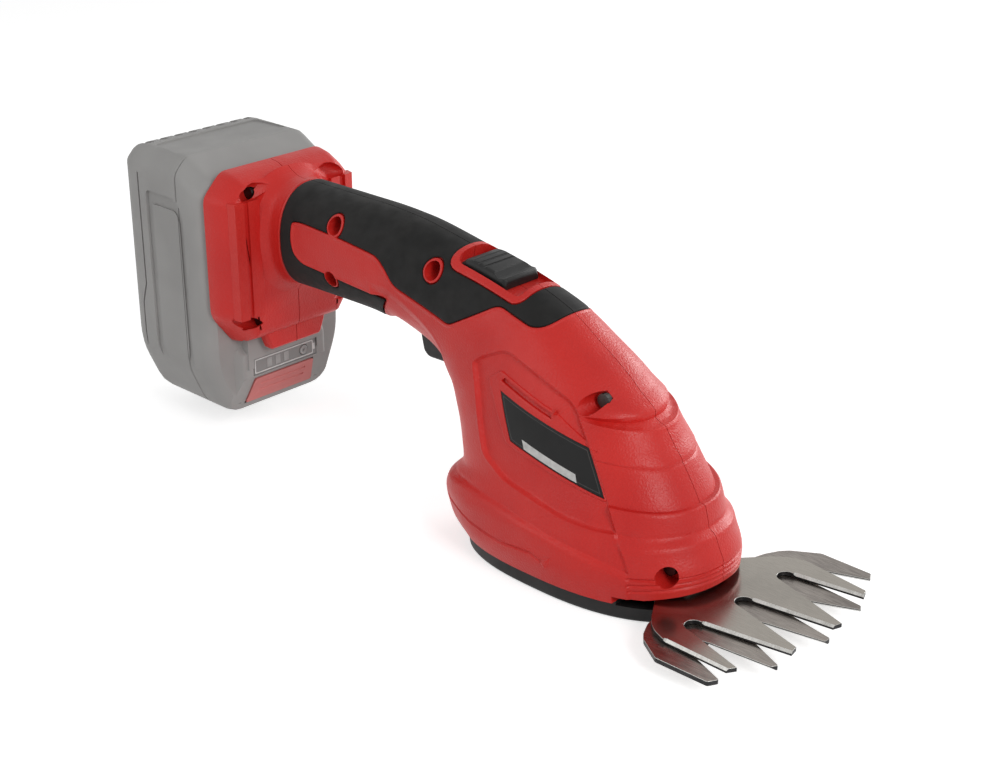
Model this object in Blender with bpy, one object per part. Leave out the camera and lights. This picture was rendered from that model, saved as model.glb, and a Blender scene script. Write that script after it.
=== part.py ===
"""Cordless shrub shears: two housing shells, soft grip, upright motor, two gear stages, a pair of blades,
trigger, lock button and a slide-on battery pack. The script models every piece as its own object.

Frame: metres, +X forward to the blade tips, +Z up. The origin lies on the blade pivot's axis, at the
underside of the shoe. The right side of the tool is -Y.
"""
import math

import bmesh
import bpy
from mathutils import Matrix, Vector

MM = 0.001

# clearances
GAP = 0.3 * MM            # between pieces that rest on or run beside each other
SEAM = 0.15 * MM          # from the centre plane to each housing half
REACH = 70 * MM           # how far a cutter runs past the part

# body: housing halves, seen in the centre plane and across it
HANDLE_HALF_WIDTH = 18.5 * MM
HEAD_HALF_WIDTH = 38.5 * MM
HANDLE_WALL = 4.0 * MM    # grip, its gap and the plastic under it
HEAD_WALL = 2.5 * MM
BODY_OPEN_END = 14 * MM    # how far the inner space runs out below the head
RING_POINTS = 24
# One row for each section plane of the body, in mm: top x and z, under x and z, share of the widening from
# handle to head, where the section is widest from under (0) to top (1), roundness above and below that.
BODY_ROWS = (
    (-231, 126, -231, 63, 0.47, 0.50, 2.3, 2.3),
    (-227, 123.5, -227, 70, 0.18, 0.50, 2.2, 2.3),
    (-221, 122, -221, 75, 0.0, 0.50, 2.2, 2.3),
    (-172, 122, -172, 76, 0.0, 0.50, 2.2, 2.3),
    (-150, 121, -155, 75, 0.025, 0.50, 2.2, 2.3),
    (-118, 116, -138, 71, 0.05, 0.50, 2.2, 2.3),
    (-95, 111.5, -127, 67, 0.125, 0.48, 2.2, 2.4),
    (-65, 102, -119, 60, 0.275, 0.46, 2.25, 2.5),
    (-50, 93, -115, 53, 0.40, 0.46, 2.3, 2.6),
    (-35, 83, -112, 47, 0.525, 0.47, 2.3, 2.7),
    (-20, 69, -110, 40, 0.625, 0.48, 2.3, 2.8),
    (-7, 54, -109, 34, 0.725, 0.48, 2.3, 2.8),
    (2, 41, -112, 29, 0.875, 0.48, 2.3, 2.8),
    (8, 28, -119, 23, 1.0, 0.48, 2.3, 2.8),
    (12, 19, -117, 15, 1.0, 0.48, 2.3, 2.8),
    (10, 9, -107, 9, 0.85, 0.48, 2.3, 2.8),
)
HEAD_FIRST_ROW = 8        # from this row on the wall is the head's

# foot: the block that carries the battery pack
FOOT_BACK = -243 * MM
FOOT_FRONT = -227.5 * MM
FOOT_HALF_WIDTH = 38 * MM
FOOT_TOP = 126.5 * MM
FOOT_BOTTOM = 47 * MM
FOOT_CORNER_TOP = 10 * MM
FOOT_CORNER_BOTTOM = 15 * MM
FOOT_FACE_INSET = 6 * MM
LIP_HALF_WIDTH = 16 * MM
LIP_DROP = 6 * MM

# slide way for the pack, cut into the back of the foot
RAIL_DEPTH = 7.8 * MM
RAIL_NECK = 2.8 * MM
RAIL_HALF_WIDTH = 26.5 * MM
RAIL_NECK_HALF_WIDTH = 22 * MM
RAIL_TOP = 110 * MM

# soft grip
GRIP_THICKNESS = 1.5 * MM
GRIP_OUTLINE = (          # side view, in mm
    (-214, 135), (-214, 66), (-165, 66), (-160, 77), (-151, 88.7), (-167, 88.9), (-185, 90.3),
    (-203, 91.5), (-207.5, 95), (-209.5, 101), (-209.5, 108.7), (-204, 109.4), (-178, 108.2),
    (-156, 106.3), (-150.5, 102.5), (-145.3, 96.5), (-129, 92.6), (-112, 89), (-99.6, 96),
    (-88.7, 102.3), (-80, 99.9), (-71.8, 97.6), (-66.5, 98.5), (-62, 103.5), (-60, 135),
)

# rating plate on the right side
PLATE_THICKNESS = 0.6 * MM
PLATE_OUTLINE = ((-79, 73), (-70.3, 55.2), (-23.5, 45.8), (-34, 62.5))

# housing screws: x, z and the depth of the head's seat from the centre plane, in mm
SCREW_PLACES = (
    (-234, 117, 18), (-231.3, 58, 18), (-183.4, 112.5, 6), (-124.9, 107.5, 6), (-185.3, 89, 8),
    (-36.3, 77.5, 12), (-0.5, 20.5, 14),
)
SCREW_HEAD_RADIUS = 2.9 * MM
SCREW_HEAD_HEIGHT = 2.2 * MM
SCREW_RADIUS = 1.4 * MM
SCREW_GRIP = 9 * MM       # thread past the centre plane
SCREW_RECESS_RADIUS = 3.7 * MM
SCREW_BOSS_RADIUS = 5.2 * MM
FOOT_BOSS_RADIUS = 3.9 * MM

# lock button on the sloping top of the handle
LOCK_X = -99.5 * MM
LOCK_Z = 112.4 * MM
LOCK_SLOPE = math.radians(12)
LOCK_POCKET_HALF_LENGTH = 17.5 * MM
LOCK_POCKET_HALF_WIDTH = 11.2 * MM
LOCK_POCKET_DEPTH = 5.2 * MM
LOCK_FLOOR = 2.6 * MM
LOCK_RIM = 2.4 * MM
LOCK_LENGTH = 25 * MM
LOCK_TRAVEL = 8 * MM
LOCK_PROUD = 2.2 * MM
LOCK_STEM_LENGTH = 6 * MM
LOCK_STEM_DROP = 8 * MM
LOCK_STEM_HALF_WIDTH = 3 * MM
LOCK_SPRING_LENGTH = 12 * MM
LOCK_GROOVES = 3

# trigger, its pin and the switch
TRIGGER_HALF_WIDTH = 7 * MM
TRIGGER_PIN_X = -121 * MM
TRIGGER_PIN_Z = 80 * MM
TRIGGER_PIN_RADIUS = 1.5 * MM
TRIGGER_PIN_HALF_LENGTH = 12 * MM
TRIGGER_TOP = 77 * MM
TRIGGER_OUTLINE = (       # side view, in mm, without its top edge
    (-149, 64), (-146, 61), (-140, 60), (-132, 60.5), (-127, 64), (-119, 74), (-116.4, 79), (-117.5, 83),
    (-121, 84.6), (-124.5, 83),
)
SWITCH_LOW = (-149 * MM, -7 * MM, 84 * MM)
SWITCH_HIGH = (-127 * MM, 7 * MM, 101.9 * MM)
PLUNGER_X = -140 * MM
PLUNGER_HALF_WIDTH = 1.5 * MM
PLUNGER_LENGTH = 11 * MM
PLUNGER_TRAVEL = 4.2 * MM
TRIGGER_SPRING_X = -131 * MM
TRIGGER_SPRING_RADIUS = 2.6 * MM

# motor
MOTOR_X = -70 * MM
MOTOR_RADIUS = 17.9 * MM
MOTOR_BORE = 13.2 * MM
MOTOR_HEIGHT = 46 * MM
MOTOR_FLOOR = 2 * MM
END_CAP_HEIGHT = 5 * MM
SHAFT_RADIUS = 1.6 * MM
ARMATURE_RADIUS = 12.2 * MM
COMMUTATOR_RADIUS = 5 * MM
COMMUTATOR_HEIGHT = 5 * MM

# gears: two stages, module and teeth
MODULE_ONE = 0.8 * MM
MODULE_TWO = 1.0 * MM
PINION_TEETH = 12
WHEEL_ONE_TEETH = 42
WHEEL_TWO_TEETH = 32
CRANK_X = -27 * MM
CRANK_THROW = 3.1 * MM
CRANK_PIN_RADIUS = 2.4 * MM
CRANK_SHAFT_RADIUS = 3 * MM
ROLLER_RADIUS = 3.9 * MM
AXLE_RADIUS = 2 * MM
WHEEL_HEIGHT = 5 * MM
WHEEL_SPACING = 3 * MM
BASE_PLATE = 2.5 * MM
BASE_HALF_WIDTH = 15 * MM
BASE_BACK = -92 * MM
BASE_FRONT = 4.8 * MM
BASE_NOSE_HALF_WIDTH = 12 * MM
BASE_TOP_FRONT = -20 * MM

# blades
FIXED_THICKNESS = 2 * MM
FIXED_LOW = 6 * MM
MOVING_THICKNESS = 1.8 * MM
BLADE_GAP = 0.2 * MM
MOVING_REST_ANGLE = math.radians(-4)
PIVOT_RADIUS = 3 * MM
PIVOT_HEAD_RADIUS = 6 * MM
WASHER_RADIUS = 7 * MM
GULLET_RADIUS = 3.75 * MM
MOVING_LOW = FIXED_LOW + FIXED_THICKNESS + BLADE_GAP
MOVING_HIGH = MOVING_LOW + MOVING_THICKNESS
FIXED_HALF_OUTLINE = (    # plan view of the -Y half, in mm, from the tail to the middle tooth
    (-44, -11), (-12, -14), (3, -26), (5.7, -36.5), (8.6, -42.4), (11.4, -45.6), (22, -51.5), (44.5, -52),
    (46.5, -48.4), (30, -38.5), (28, -37), (28, -35.4), (30, -34), (55, -29.6), (57, -26), (36.5, -15.5),
    (35, -13.8), (35, -12), (36.5, -10.5), (59, -2.2),
)
MOVING_TAIL = ((20.6, 41.5), (14.2, 39.4), (9, 35), (3.6, 27.9), (-9, 11), (-22, 9.4), (-38, 9.4))
MOVING_GULLETS = ((22.5, -26.4), (24, 0), (22.5, 26.4))
MOVING_TIPS = (((49.6, -40), (51.4, -36.4)), ((58, -14.4), (57, -10.6)), ((57, 10.6), (58, 14.4)),
               ((51.4, 36.4), (49.6, 40)))

# heights of the drive, counted up from the moving blade
BASE_LOW = MOVING_HIGH + 1 * MM
WHEEL_TWO_LOW = BASE_LOW + BASE_PLATE + 1.5 * MM
WHEEL_TWO_HIGH = WHEEL_TWO_LOW + WHEEL_HEIGHT
WHEEL_ONE_LOW = WHEEL_TWO_HIGH + WHEEL_SPACING
WHEEL_ONE_HIGH = WHEEL_ONE_LOW + WHEEL_HEIGHT
BASE_HIGH = WHEEL_ONE_HIGH + BASE_PLATE + 3.1 * MM
MOTOR_LOW = BASE_HIGH + 0.4 * MM
MOTOR_HIGH = MOTOR_LOW + MOTOR_HEIGHT

# shoe under the head
SHOE_FLOOR = 2.6 * MM
SHOE_TOP = 8.7 * MM
SHOE_FRONT = 8 * MM
SHOE_INSET = 0.8 * MM
SHOE_TAPER = 2.4 * MM
SHOE_EDGE = 1.2 * MM
SHOE_WALL = 2.6 * MM
SHOE_HEAD_Z = 1 * MM        # lower side of the screw heads
SHOE_POST_RADIUS = 5 * MM
NOSE_UNDERSIDE = MOVING_HIGH + 0.4 * MM
NOSE_BACK = -14 * MM
SHOE_SCREW_PLACES = ((-98, 9), (-50, -25), (-50, 25))

# battery pack, sized round its cells
CELL_RADIUS = 9.15 * MM
CELL_LENGTH = 65 * MM
CELL_ROWS = 5
CELL_COLUMNS = 2
CELL_PITCH = 2 * CELL_RADIUS + 0.5 * MM
PACK_WALL = 2.5 * MM
PACK_BOTTOM = 10 * MM
CELL_FIRST_Z = PACK_BOTTOM + 18.25 * MM + CELL_RADIUS
PACK_TOP = CELL_FIRST_Z + (CELL_ROWS - 1) * CELL_PITCH + CELL_RADIUS + 8.25 * MM
PACK_HALF_WIDTH = CELL_LENGTH / 2 + PACK_WALL + 3.5 * MM
PACK_FRONT = FOOT_BACK - GAP
PACK_SPLIT = PACK_FRONT - 18.7 * MM
PACK_BACK = PACK_SPLIT - CELL_COLUMNS * CELL_PITCH - 4.4 * MM
PACK_CHIN = PACK_FRONT + 3.8 * MM
PACK_SLOPE = 6 * MM       # how much lower the pack's top is at its front
PACK_TOP_CORNER = 6.5 * MM
PACK_BOTTOM_CORNER = 24 * MM
PACK_FLAT_HALF_WIDTH = PACK_HALF_WIDTH - 10.5 * MM
PACK_EDGE = 5 * MM
PACK_CHIN_TOP = 40.5 * MM
CHIN_HALF_WIDTH = 24 * MM
CHIN_CORNER = 8 * MM
BOARD_THICKNESS = 1.6 * MM
BOARD_HALF_WIDTH = 29 * MM
BOARD_LOW = 36 * MM
BOARD_HIGH = 116 * MM
TERMINAL_Y = 8 * MM
TERMINAL_THICKNESS = 0.8 * MM
TERMINAL_LOW = 86 * MM
TERMINAL_HIGH = 100 * MM
RELEASE_LOW = 15.5 * MM
RELEASE_HIGH = 26.5 * MM
RELEASE_HALF_WIDTH = 17 * MM
RELEASE_TRAVEL = 3 * MM
RELEASE_DEPTH = 6 * MM
RELEASE_BACK = PACK_CHIN - RELEASE_DEPTH - RELEASE_TRAVEL
GAUGE_LOW = 28.8 * MM
GAUGE_HIGH = 36.6 * MM
GAUGE_MIDDLE = (GAUGE_LOW + GAUGE_HIGH) / 2
GAUGE_HALF_WIDTH = 18.5 * MM
GAUGE_THICKNESS = 0.8 * MM
GAUGE_BUTTON_Y = 11 * MM
GAUGE_BUTTON_RADIUS = 2.3 * MM

WIRE_RADIUS = 1.1 * MM

# colour, roughness and metallic value of each finish
FINISHES = {
    "red_plastic": ((0.55, 0.022, 0.018), 0.38, 0.0),
    "black_rubber": ((0.012, 0.011, 0.010), 0.62, 0.0),
    "black_plastic": ((0.014, 0.014, 0.014), 0.45, 0.0),
    "label_black": ((0.012, 0.012, 0.013), 0.30, 0.0),
    "pack_grey": ((0.26, 0.255, 0.25), 0.45, 0.0),
    "pack_red": ((0.62, 0.16, 0.14), 0.45, 0.0),
    "blade_steel": ((0.45, 0.43, 0.41), 0.28, 1.0),
    "zinc_steel": ((0.55, 0.55, 0.56), 0.35, 1.0),
    "gear_steel": ((0.33, 0.33, 0.34), 0.35, 1.0),
    "cast_alloy": ((0.50, 0.50, 0.51), 0.45, 1.0),
    "brass": ((0.75, 0.55, 0.20), 0.30, 1.0),
    "white_nylon": ((0.75, 0.74, 0.70), 0.45, 0.0),
    "cell_green": ((0.05, 0.25, 0.10), 0.35, 0.0),
    "board_green": ((0.02, 0.16, 0.06), 0.40, 0.0),
    "wire_red": ((0.45, 0.02, 0.02), 0.45, 0.0),
    "wire_black": ((0.02, 0.02, 0.02), 0.45, 0.0),
}


def clear_scene():
    for item in list(bpy.data.objects):
        bpy.data.objects.remove(item)


def material(finish):
    """Each object gets a material of its own with the finish's values."""
    colour, roughness, metallic = FINISHES[finish]
    made = bpy.data.materials.new(finish)
    made.use_nodes = True
    shader = made.node_tree.nodes["Principled BSDF"]
    shader.inputs["Base Color"].default_value = (*colour, 1)
    shader.inputs["Roughness"].default_value = roughness
    shader.inputs["Metallic"].default_value = metallic
    return made


def add_object(name, shape, origin=(0, 0, 0)):
    """Turns a bmesh in world coordinates into an object whose origin is at the given point."""
    bmesh.ops.recalc_face_normals(shape, faces=shape.faces)
    mesh = bpy.data.meshes.new(name)
    shape.to_mesh(mesh)
    shape.free()
    mesh.transform(Matrix.Translation(-Vector(origin)))
    made = bpy.data.objects.new(name, mesh)
    made.location = origin
    bpy.context.scene.collection.objects.link(made)
    return made


def piece(name, shape, finish, origin=(0, 0, 0), smooth=30):
    made = add_object(name, shape, origin)
    made.data.shade_smooth()
    made.data.set_sharp_from_angle(angle=math.radians(smooth))
    made.data.materials.append(material(finish))
    return made


def cutter(name, shape):
    made = add_object("cut_" + name, shape)
    made.hide_render = True
    made.display_type = "WIRE"
    return made


def combine(target, other, operation):
    modifier = target.modifiers.new(operation.lower() + "_" + other.name, "BOOLEAN")
    modifier.operation = operation
    modifier.solver = "EXACT"
    modifier.object = other


def cut(target, *others):
    for other in others:
        combine(target, other, "DIFFERENCE")
    return target


def keep(target, *others):
    for other in others:
        combine(target, other, "INTERSECT")
    return target


def unite(target, *others):
    for other in others:
        combine(target, other, "UNION")
    return target


def add_box(shape, low, high):
    low = Vector(low)
    high = Vector(high)
    matrix = Matrix.Translation((low + high) / 2) @ Matrix.Diagonal((*(high - low), 1))
    bmesh.ops.create_cube(shape, size=1, matrix=matrix)


def box(low, high):
    shape = bmesh.new()
    add_box(shape, low, high)
    return shape


def boxes(*corners):
    shape = bmesh.new()
    for low, high in corners:
        add_box(shape, low, high)
    return shape


AXIS_TURN = {
    "X": Matrix.Rotation(math.pi / 2, 4, "Y"),
    "Y": Matrix.Rotation(-math.pi / 2, 4, "X"),
    "Z": Matrix.Identity(4),
}


def add_cylinder(shape, axis, centre, radius, low, high, sides=20, top_radius=None):
    """A round bar along an axis between two coordinates on that axis; centre gives the other two."""
    index = "XYZ".index(axis)
    middle = Vector(centre)
    middle[index] = (low + high) / 2
    top = radius if top_radius is None else top_radius
    place = Matrix.Translation(middle) @ AXIS_TURN[axis]
    bmesh.ops.create_cone(shape, cap_ends=True, segments=sides, radius1=radius, radius2=top,
                          depth=high - low, matrix=place)


def cylinder(axis, centre, radius, low, high, sides=20, top_radius=None):
    shape = bmesh.new()
    add_cylinder(shape, axis, centre, radius, low, high, sides, top_radius)
    return shape


def add_prism(shape, outline, axis, low, high):
    """A flat outline pushed along an axis. The outline's pairs are the two other coordinates, in order."""
    index = "XYZ".index(axis)
    corners = []
    for pair in outline:
        point = list(pair)
        point.insert(index, low)
        corners.append(shape.verts.new(point))
    face = shape.faces.new(corners)
    grown = bmesh.ops.extrude_face_region(shape, geom=[face])
    push = Vector((0, 0, 0))
    push[index] = high - low
    moved = [item for item in grown["geom"] if isinstance(item, bmesh.types.BMVert)]
    bmesh.ops.translate(shape, vec=push, verts=moved)


def prism(outline, axis, low, high):
    shape = bmesh.new()
    add_prism(shape, outline, axis, low, high)
    return shape


def in_mm(outline):
    return [tuple(value * MM for value in pair) for pair in outline]


def area_sign(outline):
    total = 0
    for (x, y), (next_x, next_y) in zip(outline, outline[1:] + outline[:1]):
        total += x * next_y - next_x * y
    return 1 if total > 0 else -1


def grown(outline, distance):
    """The outline moved outward by a distance, or inward where it is negative."""
    sign = area_sign(outline)
    result = []
    for index, point in enumerate(outline):
        here = Vector(point)
        before = (here - Vector(outline[index - 1])).normalized()
        after = (Vector(outline[(index + 1) % len(outline)]) - here).normalized()
        normal_before = Vector((before.y, -before.x)) * sign
        normal_after = Vector((after.y, -after.x)) * sign
        middle = normal_before + normal_after
        result.append(tuple(here + middle * (2 * distance / middle.length_squared)))
    return result


def loft(rings):
    """A closed solid through rings of the same number of points, with flat ends."""
    shape = bmesh.new()
    loops = [[shape.verts.new(point) for point in ring] for ring in rings]
    for first, second in zip(loops, loops[1:]):
        for index in range(len(first)):
            after = (index + 1) % len(first)
            shape.faces.new((first[index], first[after], second[after], second[index]))
    shape.faces.new(loops[0])
    shape.faces.new(loops[-1])
    bmesh.ops.triangulate(shape, faces=shape.faces)
    return shape


def turned(profile, centre, sides=32):
    """A solid of revolution about a vertical axis, from (radius, z) pairs that run round its section."""
    shape = bmesh.new()
    corners = [shape.verts.new((centre[0] + radius, centre[1], z)) for radius, z in profile]
    edges = [shape.edges.new((corners[i], corners[(i + 1) % len(corners)])) for i in range(len(corners))]
    bmesh.ops.spin(shape, geom=corners + edges, cent=(centre[0], centre[1], 0), axis=(0, 0, 1),
                   angle=2 * math.pi, steps=sides, use_merge=True)
    return shape


def tube(name, points, radius, finish, origin=(0, 0, 0)):
    """A round tube with closed ends along a list of points."""
    curve = bpy.data.curves.new(name, "CURVE")
    curve.dimensions = "3D"
    curve.bevel_depth = radius
    curve.bevel_resolution = 1
    curve.use_fill_caps = True
    spline = curve.splines.new("POLY")
    spline.points.add(len(points) - 1)
    for spot, place in zip(spline.points, points):
        spot.co = (*(Vector(place) - Vector(origin)), 1)
    curve.materials.append(material(finish))
    made = bpy.data.objects.new(name, curve)
    made.location = origin
    bpy.context.scene.collection.objects.link(made)
    return made


def smooth_path(points, steps):
    """A curve through the route's own points."""
    padded = [points[0], *points, points[-1]]
    result = []
    for index in range(1, len(padded) - 2):
        for step in range(steps):
            result.append(between(*padded[index - 1:index + 3], step / steps))
    return result + [tuple(points[-1])]


def between(before, start, end, after, share):
    """A point on the smooth curve from start to end, led by the points before and after them."""
    result = []
    for a, b, c, d in zip(before, start, end, after):
        slope_start = (c - a) / 2
        slope_end = (d - b) / 2
        cubed = share ** 3
        squared = share ** 2
        result.append((2 * cubed - 3 * squared + 1) * b + (cubed - 2 * squared + share) * slope_start
                      + (3 * squared - 2 * cubed) * c + (cubed - squared) * slope_end)
    return tuple(result)


SPRING_CURL_POINTS = 8


def spring(name, start, direction, length, radius, wire, turns, origin):
    """A coil spring as one unbroken tube, wound about a line from its start."""
    direction = Vector(direction).normalized()
    side = direction.orthogonal().normalized()
    across = direction.cross(side)
    run = length - 2 * wire
    count = turns * SPRING_CURL_POINTS
    points = []
    for index in range(count + 1):
        angle = 2 * math.pi * index / SPRING_CURL_POINTS
        along = direction * (wire + run * index / count)
        points.append(Vector(start) + along + (side * math.cos(angle) + across * math.sin(angle)) * radius)
    gap = run / turns - 2 * wire
    print(name, "gap between curls", round(gap / MM, 2), "mm")
    return tube(name, points, wire, "zinc_steel", origin)


def body_section(row, inset):
    """One section ring of the body, drawn in by a distance."""
    top_x, top_z, under_x, under_z, share, widest, upper, lower = row
    top = Vector((top_x, 0, top_z)) * MM
    under = Vector((under_x, 0, under_z)) * MM
    up = (top - under).normalized()
    top -= up * inset
    under += up * inset
    half_width = HANDLE_HALF_WIDTH + share * (HEAD_HALF_WIDTH - HANDLE_HALF_WIDTH) - inset
    ring = []
    for index in range(RING_POINTS):
        angle = 2 * math.pi * index / RING_POINTS
        rise = math.cos(angle)
        power = upper if rise > 0 else lower
        span = (1 - widest) if rise > 0 else widest
        height = widest + span * math.copysign(abs(rise) ** (2 / power), rise)
        side = math.sin(angle)
        point = under + (top - under) * height
        point.y = -half_width * math.copysign(abs(side) ** (2 / power), side)
        ring.append(point)
    return ring


def body_loft(inset):
    """The body's outer form drawn in by a distance."""
    return loft([body_section(row, inset) for row in BODY_ROWS])


def cavity_loft():
    """The inner form, one wall inside the outer one and open at the bottom of the head."""
    rings = []
    for index, row in enumerate(BODY_ROWS):
        rings.append(body_section(row, HEAD_WALL if index >= HEAD_FIRST_ROW else HANDLE_WALL))
    rings[-1] = [point - Vector((0, 0, BODY_OPEN_END)) for point in rings[-1]]
    return loft(rings)


def foot_outline(inset):
    """The foot's eight-sided outline as y, z pairs."""
    half = FOOT_HALF_WIDTH - inset
    shoulder = half - FOOT_CORNER_TOP
    hip = half - FOOT_CORNER_BOTTOM * 0.75
    right = [(-shoulder, FOOT_TOP), (-half, FOOT_TOP - FOOT_CORNER_TOP),
             (-half, FOOT_BOTTOM + FOOT_CORNER_BOTTOM), (-hip, FOOT_BOTTOM)]
    return right + [(-y, z) for y, z in reversed(right)]


def foot_block():
    rings = []
    for x, inset in ((FOOT_BACK, 0), (FOOT_FRONT, FOOT_FACE_INSET)):
        rings.append([(x, y, z) for y, z in foot_outline(inset)])
    return loft(rings)


def foot_lip():
    """The short lip below the foot's front, over the pack's chin."""
    back = FOOT_BACK + RAIL_DEPTH
    high = FOOT_BOTTOM + 8 * MM
    low = FOOT_BOTTOM - LIP_DROP
    side = ((back, high), (back, low), (FOOT_FRONT - LIP_DROP, low), (FOOT_FRONT - 0.5 * MM, high))
    return prism(side, "Y", -LIP_HALF_WIDTH, LIP_HALF_WIDTH)


def slide_way():
    """T-shaped way for the pack's rails, open at the foot's underside."""
    neck = box((FOOT_BACK - 1 * MM, -RAIL_NECK_HALF_WIDTH, PACK_BOTTOM),
               (FOOT_BACK + RAIL_NECK, RAIL_NECK_HALF_WIDTH, RAIL_TOP))
    wide = box((FOOT_BACK + RAIL_NECK - 0.05 * MM, -RAIL_HALF_WIDTH, PACK_BOTTOM),
               (FOOT_BACK + RAIL_DEPTH, RAIL_HALF_WIDTH, RAIL_TOP))
    return neck, wide


TERMINAL_BLOCK_LOW = (FOOT_BACK + RAIL_DEPTH + GAP, -12 * MM, 84 * MM)
TERMINAL_BLOCK_HIGH = (-224 * MM, 12 * MM, 104 * MM)


def lock_point(along, y, above):
    """A point on the lock button's sloping frame."""
    return Vector((LOCK_X + along * math.cos(LOCK_SLOPE) + above * math.sin(LOCK_SLOPE), y,
                   LOCK_Z - along * math.sin(LOCK_SLOPE) + above * math.cos(LOCK_SLOPE)))


LOCK_MATRIX = Matrix.Translation(Vector((LOCK_X, 0, LOCK_Z))) @ Matrix.Rotation(LOCK_SLOPE, 4, "Y")


def sloped_boxes(*corners):
    shape = boxes(*corners)
    bmesh.ops.transform(shape, matrix=LOCK_MATRIX, verts=shape.verts)
    return shape


LOCK_REAR = -LOCK_POCKET_HALF_LENGTH + 1.5 * MM
LOCK_STEM_REAR = LOCK_REAR + 8 * MM
LOCK_STEM_FRONT = LOCK_STEM_REAR + LOCK_STEM_LENGTH


def lock_pocket():
    reach = LOCK_POCKET_DEPTH * 4
    return sloped_boxes(((-LOCK_POCKET_HALF_LENGTH, -LOCK_POCKET_HALF_WIDTH, -LOCK_POCKET_DEPTH),
                         (LOCK_POCKET_HALF_LENGTH, LOCK_POCKET_HALF_WIDTH, reach)))


def lock_slot():
    half = LOCK_STEM_HALF_WIDTH + GAP
    low = -LOCK_POCKET_DEPTH - LOCK_FLOOR * 2
    return sloped_boxes(((LOCK_STEM_REAR - GAP, -half, low), (LOCK_STEM_FRONT + LOCK_TRAVEL + GAP, half, 0)))


def lock_shelf():
    """Solid floor under the pocket, and the rib that the lock spring pushes against."""
    length = LOCK_POCKET_HALF_LENGTH + LOCK_RIM
    low = -LOCK_POCKET_DEPTH - LOCK_FLOOR
    shelf = sloped_boxes(((-length, -REACH, low), (length, REACH, LOCK_POCKET_DEPTH)))
    back = LOCK_STEM_FRONT + GAP + LOCK_SPRING_LENGTH + GAP
    low = -LOCK_POCKET_DEPTH - LOCK_STEM_DROP
    rib = sloped_boxes(((back, -8 * MM, low), (back + 2 * MM, 8 * MM, -LOCK_POCKET_DEPTH)))
    return shelf, rib


def trigger_outline():
    return [(-149 * MM, TRIGGER_TOP)] + in_mm(TRIGGER_OUTLINE) + [(-126 * MM, TRIGGER_TOP)]


def trigger_opening():
    """The slot that the trigger moves through."""
    side = ((-151, 58), (-151, 81), (-113, 88), (-113, 70), (-119, 62), (-126, 56))
    return prism(in_mm(side), "Y", -TRIGGER_HALF_WIDTH - 2 * GAP, TRIGGER_HALF_WIDTH + 2 * GAP)


def screw_columns():
    """The columns that the housing screws run through, as solids across the whole body."""
    shape = bmesh.new()
    for index, (x, z, seat) in enumerate(SCREW_PLACES):
        radius = FOOT_BOSS_RADIUS if index < 2 else SCREW_BOSS_RADIUS
        add_cylinder(shape, "Y", (x * MM, 0, z * MM), radius, -REACH, REACH, 16)
    return shape


def screw_holes():
    recesses = bmesh.new()
    bores = bmesh.new()
    for x, z, seat in SCREW_PLACES:
        place = (x * MM, 0, z * MM)
        add_cylinder(recesses, "Y", place, SCREW_RECESS_RADIUS, -REACH, -seat * MM, 16)
        add_cylinder(bores, "Y", place, SCREW_RADIUS + GAP, -seat * MM - 1 * MM, SCREW_GRIP + GAP, 12)
    return recesses, bores


def motor_shelves():
    """Two ribs that hold the motor can."""
    shape = bmesh.new()
    for z in (46, 70):
        add_box(shape, (MOTOR_X - 26 * MM, -REACH, z * MM), (MOTOR_X + 24 * MM, REACH, (z + 2) * MM))
    return shape


def base_shelves():
    """Ribs below the gear base's lower plate and above its upper plate."""
    shape = bmesh.new()
    for side in (-1, 1):
        edges = sorted((side * (BASE_HALF_WIDTH - 4 * MM), side * REACH))
        add_box(shape, (BASE_BACK + 4 * MM, edges[0], BASE_LOW - GAP - 2 * MM),
                (BASE_BACK + 12 * MM, edges[1], BASE_LOW - GAP))
        add_box(shape, (BASE_BACK + 2 * MM, edges[0], BASE_HIGH + GAP),
                (BASE_BACK + 6 * MM, edges[1], BASE_HIGH + GAP + 2 * MM))
    return shape


def switch_shelves():
    """Ribs beside the switch, over its top and behind it."""
    shape = bmesh.new()
    for side in (-1, 1):
        edges = sorted((side * (SWITCH_HIGH[1] + GAP), side * REACH))
        add_box(shape, (-144 * MM, edges[0], 84 * MM), (-142 * MM, edges[1], 101 * MM))
        add_box(shape, (-128 * MM, edges[0], 86 * MM), (-126 * MM, edges[1], 101 * MM))
    return shape


def pin_bosses():
    shape = bmesh.new()
    for side in (-1, 1):
        low, high = sorted((side * (TRIGGER_HALF_WIDTH + 2 * GAP), side * REACH))
        add_cylinder(shape, "Y", (TRIGGER_PIN_X, 0, TRIGGER_PIN_Z), 3.6 * MM, low, high, 16)
    return shape


def shoe_bosses():
    """Bosses for the shoe screws, each joined to the wall by a rib."""
    columns = bmesh.new()
    for x, y in SHOE_SCREW_PLACES:
        side = 1 if y > 0 else -1
        low, high = sorted((y * MM - side * 3.4 * MM, side * REACH))
        add_box(columns, ((x - 3.4) * MM, low, SHOE_TOP + GAP), ((x + 3.4) * MM, high, SHOE_TOP + 13 * MM))
    return columns


def shoe_screw_bores():
    shape = bmesh.new()
    for x, y in SHOE_SCREW_PLACES:
        add_cylinder(shape, "Z", (x * MM, y * MM, 0), SCREW_RADIUS + GAP, 0, SHOE_TOP + 10 * MM, 12)
    return shape


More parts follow.
